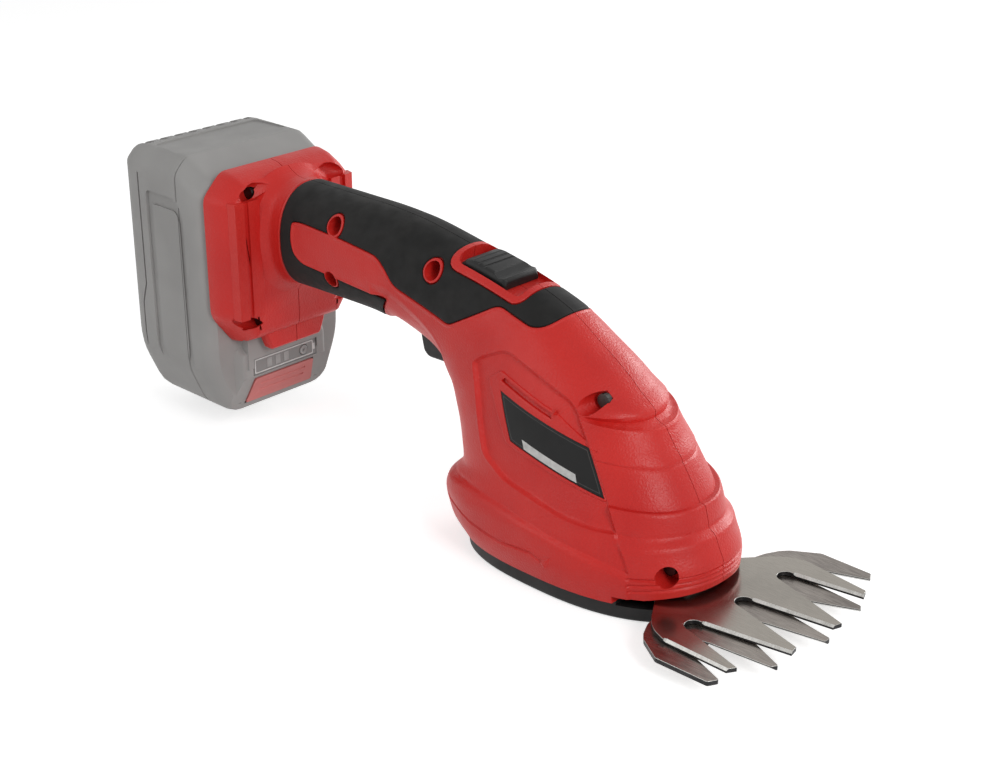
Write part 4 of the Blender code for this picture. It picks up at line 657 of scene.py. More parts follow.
# view, line and depths of the lock's pocket, its stem's slot, the trigger's opening and the slope under the nose
housingCuts = (
    ("lock", rounded([(-17.5, -11.2), (17.5, -11.2), (17.5, 11.2), (-17.5, 11.2)], [5, 2.6, 2.6, 5], 5), -5.2, 20),
    ("lock", rounded([(-8.3, -3.3), (6.3, -3.3), (6.3, 3.3), (-8.3, 3.3)], 0.8, 2), -11, 0),
    ("side", rounded([(-151, 58), (-151, 81), (-113, 88), (-113, 70), (-119, 62), (-126, 56)], 1.2, 2), -7.6, 7.6),
    ("side", [(-4, 10.3), (24, 15.6), (24, 0), (-4, 0)], -60, 60))

# corners of the rail's way, its wider rear part, the contacts' room and the blades' room
housingRooms = (
    ((-244, -22, 10), (-240.2, 22, 110)), ((-240.25, -26.5, 10), (-235.2, 26.5, 110)),
    ((-235.25, -12.3, 83.7), (-226.5, 12.3, 104.3)), ((-14, -60, -10), (60, 60, 10.4)))

leastPart = 600   # parts of a half with fewer points than this are left-overs


def bodyRings(insets, cell, sides, lastDrop=0.0):
    # full rings round the body, drawn in by a distance that depends on the row
    rings = []
    steps = rowSteps(0, 15, cell)
    for step in steps:
        row = bodyRow(step)
        inset = float(np.interp(step, [0, 7, 8, 15], [insets[0], insets[0], insets[1], insets[1]]))
        ring = [bodyPoint(row, 2 * math.pi * n / sides, inset) / mm for n in range(sides)]
        rings.append(ring)
    rings[-1] = [spot - Vector((0, 0, lastDrop)) for spot in rings[-1]]
    return rings


def recessRod(x, z, seat, mouth, radius, wider=0.0, end=1.0):
    # a round bar from a screw's seat toward the mouth of its recess
    start = Vector((x, -seat, z))
    far = start + (Vector(mouth) - start) * end
    return [ringRound(spot, alongX, alongZ, radius + wider, 40) for spot in (start, far)]


def dropLoose(made, least):
    # removes separate small parts that booleans leave behind
    shape = bmesh.new()
    shape.from_mesh(made.data)
    seen = set()
    loose = []
    for vert in shape.verts:
        if vert in seen:
            continue
        seen.add(vert)
        part = [vert]
        for here in part:
            for edge in here.link_edges:
                other = edge.other_vert(here)
                if other not in seen:
                    seen.add(other)
                    part.append(other)
        if len(part) < least:
            loose += part
    bmesh.ops.delete(shape, geom=loose, context="VERTS")
    shape.to_mesh(made.data)
    shape.free()


def cutHousing(half, node, right):
    carve(half, footHalf(), "UNION")
    # ribs, bosses and shelves come from the CAD half, inside the outer wall
    room = cutterFrom((addLoft, bodyRings((4, 3.4), 9, 40, 14)))
    carve(half, room)
    source = bmesh.new()
    source.from_mesh(node.data)
    bmesh.ops.remove_doubles(source, verts=source.verts, dist=0.000002)
    if not right:
        bmesh.ops.scale(source, vec=(1, -1, 1), verts=source.verts)
        bmesh.ops.reverse_faces(source, faces=source.faces)
    core = addObject("core", source, None, smooth=False)
    if "custom_normal" in core.data.attributes:
        core.data.attributes.remove(core.data.attributes["custom_normal"])
    carve(core, cutterFrom((addLoft, bodyRings((3.3, 3.0), 9, 40))), "INTERSECT")
    carve(half, core, "UNION")
    for place in screwPlaces[5:] if right else ():
        boss = cutterFrom((addLoft, recessRod(*place, wider=1.6, end=0.6)))
        carve(boss, cutterFrom((addLoft, bodyRings((1.5, 1.5), 6, 48))), "INTERSECT")
        carve(half, boss, "UNION")
    if right:
        for x, z, seat, mouth, radius in screwPlaces:
            carve(half, cutterFrom((addLoft, recessRod(x, z, seat, mouth, radius))))
    for view, line, low, high in housingCuts:
        carve(half, cutterFrom((addPrism, view, line, low, high)))
    for low, high in housingRooms:
        carve(half, cutterFrom((addBox, low, high)))
    dropLoose(half, leastPart)
    return half


for name, sheet, right in (("housingRight", rightSheet, True), ("housingLeft", leftSheet, False)):
    node = nodes["housing_right" if right else "housing_left"]
    half = cutHousing(addObject(name, sheet, None), node, right)
    if not right:
        half.data.transform(Matrix.Diagonal((1, -1, 1, 1)))
        half.data.flip_normals()
    finishShading(half, 34)
    declare(half, "tool", "housing_right" if right else "housing_left")
print("housings cut")


def offsetShell(sheet, low):
    # closes a patch into a plate by copying it inward along its normals, in mm
    sheet.normal_update()
    inward = {}
    for vert in sheet.verts:
        normal = vert.normal.copy()
        if vert.co.y > -1e-6:
            normal.y = 0
            normal.normalize()
        inward[tuple(vert.co)] = normal * low * mm
    made = bmesh.ops.extrude_face_region(sheet, geom=list(sheet.faces), use_keep_orig=True)["geom"]
    for vert in made:
        if isinstance(vert, bmesh.types.BMVert):
            vert.co += inward[tuple(vert.co)]
    bmesh.ops.recalc_face_normals(sheet, faces=sheet.faces)


# soft grip: one layer on each half, with a rounded rim
grip = {"rim": [0.3, 0.55, 1.0], "heights": [-0.35, 0.02, 0.2], "thickness": 1.5}


def gripHalf(holes):
    sheet = surfaceSheet(0, 9.5, body["cell"], body["sides"])
    score(sheet, "side", gripLine, [-value for value in grip["rim"]])
    score(sheet, "lock", lockRimLine, grip["rim"])
    if holes:
        for x, z, radius in gripHoles:
            score(sheet, "side", circleLine((x, z), radius), grip["rim"])

    def depthIn(verts):
        # distance inside the grip from its nearest edge
        spots = [inView("side", vert.co) for vert in verts]
        inside = np.minimum(-distanceTo(spots, gripLine), lockDistance(verts))
        return np.minimum(inside, holeDistance(spots)) if holes else inside

    middles = bmesh.new()
    faces = list(sheet.faces)
    for face in faces:
        middles.verts.new(face.calc_center_median())
    inside = depthIn(list(middles.verts))
    middles.free()
    outside = [face for face, deep in zip(faces, inside) if deep < grip["rim"][0]]
    bmesh.ops.delete(sheet, geom=outside, context="FACES")
    tidySheet(sheet)
    sheet.normal_update()
    verts = list(sheet.verts)
    liftVerts(verts, np.interp(depthIn(verts), grip["rim"], grip["heights"]))
    offsetShell(sheet, -grip["thickness"])
    for vert in sheet.verts:
        vert.co.y = min(vert.co.y, -0.15 * mm)
    return sheet


for name, right in (("gripRight", True), ("gripLeft", False)):
    shape = gripHalf(right)
    if not right:
        bmesh.ops.scale(shape, vec=(1, -1, 1), verts=shape.verts)
        bmesh.ops.reverse_faces(shape, faces=shape.faces)
    declare(addObject(name, shape, None, 40), "tool", "grip_right" if right else "grip_left")
print("grips made")


# rating plate: a thin film in its own shallow bed, with a printed border and a blank pale strip
plate = {"border": [(-1.0, -1.3)], "strip": [(-64.0, 57.8), (-37.2, 52.0), (-35.9, 49.0), (-62.6, 54.4)],
         "lift": -0.12, "thickness": 0.5}


def plateSheet():
    sheet = surfaceSheet(8.2, 14.5, 1.6, body["sides"])
    score(sheet, "side", plateLine, [-0.12, -0.35, -1.0, -1.3])
    score(sheet, "side", plate["strip"], [0])
    spots = [inView("side", face.calc_center_median()) for face in sheet.faces]
    away = distanceTo(spots, plateLine)
    outside = [face for face, gap in zip(sheet.faces, away) if gap > -0.12]
    bmesh.ops.delete(sheet, geom=outside, context="FACES")
    bmesh.ops.triangulate(sheet, faces=sheet.faces)
    spots = [inView("side", face.calc_center_median()) for face in sheet.faces]
    gaps = distanceTo(spots, plateLine)
    inStrip = distanceTo(spots, plate["strip"])
    for face, gap, stripGap in zip(sheet.faces, gaps, inStrip):
        if stripGap < 0:
            face.material_index = 2
        elif -1.3 < gap < -1.0:
            face.material_index = 1
    sheet.normal_update()
    verts = list(sheet.verts)
    spots = [inView("side", vert.co) for vert in verts]
    rise = heightOf(spots, panelLine, profiles["panel"]) + heightOf(spots, innerLine, profiles["inner"])
    rise = np.minimum(rise, -0.75) + plate["lift"] + heightOf(spots, plateLine, [(-0.35, 0), (-0.12, -0.12)])
    liftVerts(verts, rise)
    offsetShell(sheet, -plate["thickness"])
    return sheet


declare(addObject("ratingPlate", plateSheet(), None, 40), "tool", "rating_plate")


# lock button: a long cap with three grooves and a scooped front, on its stem
lockButton = {"rear": -14.8, "front": 9, "half": 9.9, "low": -4.9, "top": -0.1, "grooves": (-10.1, -6.8, -3.5),
              "grooveRadius": 0.62, "scoop": (4.6, 4.3, 5.6)}


def buttonShape():
    look = lockButton
    shape = bmesh.new()
    top = look["top"]
    sides = [(look["rear"], look["low"]), (look["front"], look["low"]), (look["front"], top - 1.2),
             (look["front"] - 1.4, top + 0.3), (look["front"] - 5, top), (look["rear"] + 5, top - 0.4),
             (look["rear"] + 1.5, top - 1.4), (look["rear"], top - 3.0)]
    sides = rounded(sides, [0.2, 0.2, 0.8, 0.8, 2, 3, 1.5, 1.0], 3)
    half = look["half"]
    rings = []
    for y in (-half, half):
        rings.append([lockOrigin / mm + lockAlong * along + lockUp * above + Vector((0, y, 0))
                      for along, above in sides])
    addLoft(shape, rings)
    bmesh.ops.recalc_face_normals(shape, faces=shape.faces)
    rimLow = lockOrigin.dot(lockUp) - 3.6 * mm
    rim = [edge for edge in shape.edges
           if abs(edge.verts[0].co.y - edge.verts[1].co.y) < 1e-6
           and min(vert.co.dot(lockUp) for vert in edge.verts) > rimLow]
    bmesh.ops.bevel(shape, geom=rim, offset=2.2 * mm, segments=4, profile=0.5, affect="EDGES", material=-1)
    bmesh.ops.triangulate(shape, faces=[face for face in shape.faces if len(face.verts) > 4])
    return shape


def groove(along, above, radius):
    # a round bar across the button, a little bent to follow its top
    rings = []
    for y in (-14, 14):
        middle = lockOrigin / mm + lockAlong * along + lockUp * above + Vector((0, y, 0))
        rings.append(ringRound(middle, lockAlong, lockUp, radius, 12))
    return cutterFrom((addLoft, rings))


button = addObject("lockButton", buttonShape(), None)
for along in lockButton["grooves"]:
    carve(button, groove(along, -0.4, lockButton["grooveRadius"]))
carve(button, groove(*lockButton["scoop"]))
stem = [(-8, -3), (-2, -3), (-2, 3), (-8, 3)]
carve(button, cutterFrom((addPrism, "lock", stem, -13.2, -4.4)), "UNION")
finishShading(button, 32)
declare(button, "lock", "lock_button")


# trigger: a rounded finger lever with a hole and four grooves across its face
trigger = {"half": 7,
           "outline": [(-142, 78), (-141, 66), (-138, 63.6), (-131, 63.8), (-123.5, 63.9), (-119.6, 67),
                       (-118, 74), (-116.4, 79), (-117.5, 83), (-121, 84.6), (-124.5, 83), (-126, 78)],
           "corners": [0.4, 2, 2, 3, 2, 3, 3, 2, 1.5, 1.5, 1.5, 0.6]}


def triggerShape():
    outline = rounded(trigger["outline"], trigger["corners"], 4)
    shape = bmesh.new()
    half = trigger["half"]
    addLoft(shape, [[(x, y, z) for x, z in outline] for y in (-half, half)])
    bmesh.ops.recalc_face_normals(shape, faces=shape.faces)
    rim = [edge for edge in shape.edges if abs(edge.verts[0].co.y - edge.verts[1].co.y) < 1e-6
           and max(vert.co.z for vert in edge.verts) < 0.0768]
    bmesh.ops.bevel(shape, geom=rim, offset=1.6 * mm, segments=4, profile=0.5, affect="EDGES", material=-1)
    bmesh.ops.triangulate(shape, faces=[face for face in shape.faces if len(face.verts) > 4])
    return shape


lever = addObject("triggerLever", triggerShape(), None)
carve(lever, cutterFrom((addRod, "Y", (-121, 0, 80), 1.7, -12, 12, 24)))
for x in (-136.5, -133.5, -130.5, -127.5):
    carve(lever, cutterFrom((addRod, "Y", (x, 0, 63.3), 0.8, -5, 5, 12)))
finishShading(lever, 32)
declare(lever, "trigger", "trigger")


# shoe under the head: a tapering band with a floor, screw posts and the blades' slot at the front
shoe = {"rings": ((1.9, 0.0), (1.0, 0.25), (0.6, 0.8), (0.5, 1.5), (0.75, 7.3), (1.1, 7.6), (3.0, 7.7), (3.0, 8.7)),
        "front": 8, "screws": ((-98, 9), (-50, -25), (-50, 25))}


def shoeRing(inset, z, sides=96):
    row = bodyRow(15)
    spots = [bodyPoint(row, 2 * math.pi * n / sides, inset) / mm for n in range(sides)]
    return [(min(spot.x, shoe["front"] - inset), spot.y, z) for spot in spots]


base = addObject("shoeBand", solid((addLoft, [shoeRing(inset, z) for inset, z in shoe["rings"]])), None)
carve(base, cutterFrom((addLoft, [shoeRing(5.0, 2.6), shoeRing(5.0, 9.7)])))
for x, y in shoe["screws"]:
    carve(base, cutterFrom((addRod, "Z", (x, y, 0), 5, 0.5, 8.7)), "UNION")
carve(base, cutterFrom((addBox, (-14, -60, 5.7), (60, 60, 50))))
carve(base, cutterFrom((addRod, "Z", (0, 0, 0), 6.6, 2.6, 50)))
for x, y in shoe["screws"]:
    carve(base, cutterFrom((addRod, "Z", (x, y, 0), 1.7, -1, 9)))
    carve(base, cutterFrom((addRod, "Z", (x, y, 0), 3.2, -1, 3.5)))
finishShading(base, 32)
declare(base, "tool", "shoe")


# blades: a fixed comb with five teeth and a moving one with four ground teeth
blades = {
    "fixedHalf": [(-44, -11), (-12, -14), (3, -26), (5.7, -36.5), (8.6, -42.4), (11.4, -45.6), (22, -52.2),
                  (44.9, -51.8), (47, -47.8), (30, -41.2), (27, -40.3), (24.6, -38.6), (23.8, -36.2), (24.6, -33.8),
                  (27, -31.7), (30, -31), (55.4, -28.7), (56.8, -26.2), (38, -17.9), (34.2, -15.8), (31.8, -13.7),
                  (31, -11.2), (31.8, -8.7), (34, -6.7), (36.5, -5.9), (59.8, -1.6)],
    "tail": [(20.6, 41.5), (14.2, 39.4), (9, 35), (3.6, 27.9), (-9, 11), (-22, 9.4), (-38, 9.4)],
    "gullets": [(22.5, -26.4), (24, 0), (22.5, 26.4)],
    "gulletRadius": 3.75,
    "tips": [((49.6, -40), (51.4, -36.4)), ((58, -14.4), (57, -10.6)), ((57, 10.6), (58, 14.4)),
             ((51.4, 36.4), (49.6, 40))],
    "ground": [((20.6, -41.5), (49.6, -40)), ((22.5, -22.65), (58, -14.4)), ((24, 3.75), (57, 10.6)),
               ((22.5, 30.15), (51.4, 36.4))],
    "undercut": [((30, -31), (55.4, -28.7)), ((36.5, -5.9), (59.8, -1.6)), ((38, 17.9), (56.8, 26.2)),
                 ((30, 41.2), (47, 47.8))],
    "fixed": (6.0, 8.0), "moving": (8.2, 10.0), "turn": -4.0,
}


def movingOutline(arcPoints=14):
    outline = [(x, -y) for x, y in reversed(rounded(blades["tail"], [0, 3, 4, 4, 6, 4, 0], 4))]
    for index, tip in enumerate(blades["tips"]):
        outline += list(tip)
        if index < len(blades["gullets"]):
            x, y = blades["gullets"][index]
            for step in range(arcPoints + 1):
                angle = -math.pi / 2 - math.pi * step / arcPoints
                reach = blades["gulletRadius"]
                outline.append((x + reach * math.cos(angle), y + reach * math.sin(angle)))
    return outline + rounded(blades["tail"], [0, 3, 4, 4, 6, 4, 0], 4)


def softenPlate(shape, width):
    # breaks the rims of a flat plate
    rim = [edge for edge in shape.edges if abs(edge.verts[0].co.z - edge.verts[1].co.z) < 1e-7
           and len(edge.link_faces) == 2 and edge.calc_face_angle(0) > 0.8]
    bmesh.ops.bevel(shape, geom=rim, offset=width * mm, segments=1, profile=0.5, affect="EDGES", material=-1)
    bmesh.ops.triangulate(shape, faces=[face for face in shape.faces if len(face.verts) > 4])


def markEdges(made):
    # edge walls take the second material, a near-black steel with painted shade, ground facets the third, broken rims
    # the fourth
    for face in made.data.polygons:
        tilt = abs(face.normal.z)
        if tilt < 0.25:
            face.material_index = 1
        elif tilt < 0.9 and face.area > 0.7e-6 and face.normal.z > 0:
            face.material_index = 2
        elif tilt < 0.9:
            face.material_index = 3


half = blades["fixedHalf"]
outline = rounded(half + [(x, -y) for x, y in reversed(half)], 0.7, 3)
shape = bmesh.new()
addPrism(shape, "plan", outline, *blades["fixed"])
bmesh.ops.recalc_face_normals(shape, faces=shape.faces)
softenPlate(shape, 0.12)
fixedBlade = addObject("fixedBlade", shape, None, smooth=False)
carve(fixedBlade, cutterFrom((addRod, "Z", (0, 0, 0), 3.3, 0, 20)))
for start, end in blades["undercut"]:
    # the near edge of a tooth leans in under its top
    first = Vector((*start, 0))
    run = (Vector((*end, 0)) - first).normalized()
    inward = Vector((-run.y, run.x, 0))
    rings = []
    for along in (-1.2, (Vector((*end, 0)) - first).length + 2.5):
        spot = first + run * along
        rings.append([spot + inward * side + Vector((0, 0, z)) for side, z in
                      ((-0.3, 7.75), (2.2, 5.7), (-2.2, 5.7), (-2.2, 7.75))])
    carve(fixedBlade, cutterFrom((addLoft, rings)))
markEdges(fixedBlade)
declare(fixedBlade, "tool", "fixed_blade")

turn = Matrix.Rotation(math.radians(blades["turn"]), 4, "Z")
shape = bmesh.new()
addPrism(shape, "plan", movingOutline(), *blades["moving"])
bmesh.ops.recalc_face_normals(shape, faces=shape.faces)
softenPlate(shape, 0.1)
bmesh.ops.transform(shape, matrix=turn, verts=shape.verts)
movingBlade = addObject("movingBlade", shape, None, smooth=False)
carve(movingBlade, cutterFrom((addRod, "Z", (0, 0, 0), 3.3, 0, 20)))
slot = rounded([(-34.3, -4.2), (-19.7, -4.2), (-19.7, 4.2), (-34.3, 4.2)], 4.1, 6)
shape = solid((addPrism, "plan", slot, 0, 20))
bmesh.ops.transform(shape, matrix=turn, verts=shape.verts)
carve(movingBlade, addObject("cutter", shape, None, smooth=False))
for start, end in blades["ground"]:
    # a wedge along the tooth's near edge leaves a ground facet
    first = Vector((*start, 0))
    run = (Vector((*end, 0)) - first).normalized()
    inward = Vector((-run.y, run.x, 0))
    reach = (Vector((*end, 0)) - first).length + 6
    rings = []
    for along, width in ((0.4, 0.6), (1.4, 1.0), (reach, 0.85)):
        spot = first + run * along
        rings.append([spot + inward * side + Vector((0, 0, z)) for side, z in
                      ((width, 10), (width, 12), (-0.7, 12), (-0.7, 9.3 - width))])
    shape = solid((addLoft, rings))
    bmesh.ops.transform(shape, matrix=turn, verts=shape.verts)
    carve(movingBlade, addObject("cutter", shape, None, smooth=False))
markEdges(movingBlade)
declare(movingBlade, "cutter", "moving_blade")
print("lock button, trigger, shoe and blades made")


# battery pack: two case halves, gauge and release button
pack = {
    "outline": [(-32, 130), (-38.5, 123.5), (-38.5, 34), (-28, 10), (28, 10), (38.5, 34), (38.5, 123.5), (32, 130)],
    "corners": [3, 3, 8, 7, 7, 8, 3, 3],
    "rear": ((-304, 9.0), (-303.6, 7.2), (-302.6, 5.2), (-300.8, 3.2), (-298.2, 1.6), (-295, 0.5), (-291, 0),
             (-262.7, 0), (-262.2, 0.45)),
    "front": ((-261.8, 0.45, 0), (-261.3, 0, 0), (-250.5, 0, 6), (-247.6, 0.5, 6), (-245.0, 1.9, 6),
              (-243.3, 3.9, 6)),
    "chin": ((-247.2, -4.8), (-243.8, -2.6), (-241.4, -0.4), (-240.3, 0.1), (-239.7, 0.8), (-239.5, 1.6)),
    "chinOutline": [(-24.5, 40.5), (-24.5, 20), (-20.5, 13.6), (20.5, 13.6), (24.5, 20), (24.5, 40.5)],
    "ribs": 8,
}


def packRing(x, inset, lower=0.0):
    line = [(y, z - lower if z > 60 else z) for y, z in rounded(pack["outline"], pack["corners"], 4)]
    return [(x, y, z) for y, z in (shifted(line, -inset) if inset else line)]


def sidePanels(case):
    # the recessed frame on both sides, with its raised inner field
    outer = rounded([(-284, 112), (-263, 112), (-258, 106), (-257.4, 36), (-261, 26), (-278, 26), (-284, 36)],
                    [2.5, 3, 3, 3, 3, 3, 3], 3)
    inner = rounded([(-280.5, 106), (-264, 106), (-261.4, 102), (-261, 38.5), (-263, 32), (-277, 32), (-280.5, 39)],
                    [1.5, 2, 2, 2, 2, 2, 2], 3)
    for side in (1, -1):
        depths = sorted((side * 37.2, side * 45))
        frameCut = cutterFrom((addPrism, "side", outer, *depths))
        depths = sorted((side * 36.6, side * 37.9))
        carve(frameCut, cutterFrom((addPrism, "side", inner, *depths)))
        carve(case, frameCut)


rear = addObject("batteryCaseRear", solid((addLoft, [packRing(x, inset) for x, inset in pack["rear"]])), None)
rearRoom = ((-301.5, 8.4), (-299.5, 5.0), (-294, 2.6), (-261, 2.5))
carve(rear, cutterFrom((addLoft, [packRing(x, inset) for x, inset in rearRoom])))
sidePanels(rear)
for step in range(pack["ribs"]):
    # notches across the rear top edge
    middle = -28 + step * 56 / (pack["ribs"] - 1)
    rings = []
    width = 2.2
    for x, z in ((-306.5, 120.6), (-291, 130.0)):
        rings.append([(x, middle - width, z + 4), (x, middle - width, z + 0.5), (x, middle - width * 0.6, z),
                      (x, middle + width * 0.6, z), (x, middle + width, z + 0.5), (x, middle + width, z + 4)])
    carve(rear, cutterFrom((addLoft, rings)))
topField = rounded([(-288, -29), (-268, -31), (-268, 31), (-288, 29)], 2.5, 3)
carve(rear, cutterFrom((addPrism, "plan", topField, 129.3, 135)))
for side in (1, -1):
    # a stepped groove down each side
    line = [(-289.6, 119), (-288.6, 119), (-288.6, 66), (-292.0, 56), (-292.0, 30), (-293, 30), (-293, 56.2),
            (-289.6, 66.2)]
    depths = sorted((side * 37.5, side * 45))
    carve(rear, cutterFrom((addPrism, "side", line, *depths)))
finishShading(rear, 30)
declare(rear, "battery", "battery_case_rear")

front = addObject("batteryCaseFront", solid((addLoft, [packRing(*ring) for ring in pack["front"]])), None)


def chinRing(x, inset):
    line = rounded(pack["chinOutline"], [2.5, 3, 3, 3, 3, 2.5], 3)
    return [(x, y, z) for y, z in shifted(line, -inset)]


carve(front, cutterFrom((addLoft, [chinRing(x, inset) for x, inset in pack["chin"]])), "UNION")
slope = [(-239.2, 28.3), (-240.2, 27.6), (-251.1, 2), (-230, 2), (-230, 28.3)]
carve(front, cutterFrom((addPrism, "side", slope, -60, 60)))
carve(front, cutterFrom((addBox, (-244.3, -21.7, 32.5), (-238.9, 21.7, 109.7))), "UNION")
carve(front, cutterFrom((addBox, (-239.9, -26.2, 50), (-235.5, 26.2, 108.7))), "UNION")
frontRoom = [packRing(-263, 2.5), packRing(-250.5, 2.5, 6), packRing(-245.8, 4.0, 6)]
backing = cutterFrom((addLoft, frontRoom))
carve(backing, cutterFrom((addBox, (-250.9, -22, 5), (-230, 22, 28.8))))
carve(front, backing)
sidePanels(front)
for y in (-8, 8):
    carve(front, cutterFrom((addBox, (-246.8, y - 1.2, 84), (-242.3, y + 1.2, 95))))
    carve(front, cutterFrom((addBox, (-242.9, y - 1.4, 83), (-227.5, y + 1.4, 111))))
mouth = [(-20.1, 13.2), (20.1, 13.2), (17.6, 26.8), (-17.6, 26.8)]
carve(front, cutterFrom((addPrism, "front", mouth, -249.6, -230)))
carve(front, cutterFrom((addBox, (-240.6, -18.8, 28.5), (-230, 18.8, 36.9))))
carve(front, cutterFrom((addRod, "X", (0, 11, 32.7), 2.6, -242.7, -230)))
finishShading(front, 30)
declare(front, "battery", "battery_case_front")

panel = addObject("gaugePanel", solid((addBox, (-240.3, -18.5, 28.8), (-239.5, 18.5, 36.6))), None)
carve(panel, cutterFrom((addRod, "X", (0, 11, 32.7), 2.6, -242.7, -230)))
gaugeOutline = rounded([(-18.0, 29.3), (16.6, 29.3), (16.6, 36.1), (-18.0, 36.1)], 0.5, 2)
gaugeInner = rounded([(-17.5, 29.8), (16.1, 29.8), (16.1, 35.6), (-17.5, 35.6)], 0.4, 2)
ring = cutterFrom((addPrism, "front", gaugeOutline, -239.7, -239.38))
carve(ring, cutterFrom((addPrism, "front", gaugeInner, -240, -239)))
carve(panel, ring, "UNION")
carve(panel, cutterFrom((addBox, (-239.7, 16.5, 31.2), (-239.38, 17.8, 34.2))), "UNION")
for y in (-9.4, -4.4, 0.6):
    carve(panel, cutterFrom((addBox, (-239.7, y - 1.4, 30.6), (-239.4, y + 1.4, 34.8))), "UNION")
for face in panel.data.polygons:
    middle = face.center / mm
    if middle.x > -239.45:
        face.material_index = 2 if -11 < middle.y < 2.2 and 30.8 < middle.z < 34.6 else 1
finishShading(panel, 30)
declare(panel, "battery", "gauge_panel")

rings = [[(x, y, z) for y, z in circleLine((11, 32.7), radius, 28)]
         for x, radius in ((-241.8, 2.3), (-239.5, 2.3), (-239.2, 2.15), (-239.1, 1.8), (-239.3, 1.5), (-239.3, 0.4))]
gaugeButton = addObject("gaugeButton", solid((addLoft, rings)), None, 32)
declare(gaugeButton, "gauge", "gauge_button")

face = [(-19.6, 13.6), (19.6, 13.6), (17.2, 26.4), (-17.2, 26.4)]
rings = []
for x, inset in ((-246.4, 0), (-240.2, 0), (-239.4, 0.35), (-238.9, 1.1)):
    line = shifted(rounded(face, 1.2, 3), -inset) if inset else rounded(face, 1.2, 3)
    rings.append([(x, y, z) for y, z in line])
release = addObject("releaseButton", solid((addLoft, rings)), None)
slope = [(-238.9, 27.4), (-239.9, 26.7), (-245.6, 13.6), (-230, 13.6), (-230, 27.4)]
carve(release, cutterFrom((addPrism, "side", slope, -60, 60)))
for z in (18.9, 22.6):
    carve(release, cutterFrom((addRod, "Y", (-239.6 - (26.7 - z) * 0.435, 0, z), 0.7, -13.2, 13.2, 16)))
finishShading(release, 30)
declare(release, "release", "release_button")
print("battery pack made")


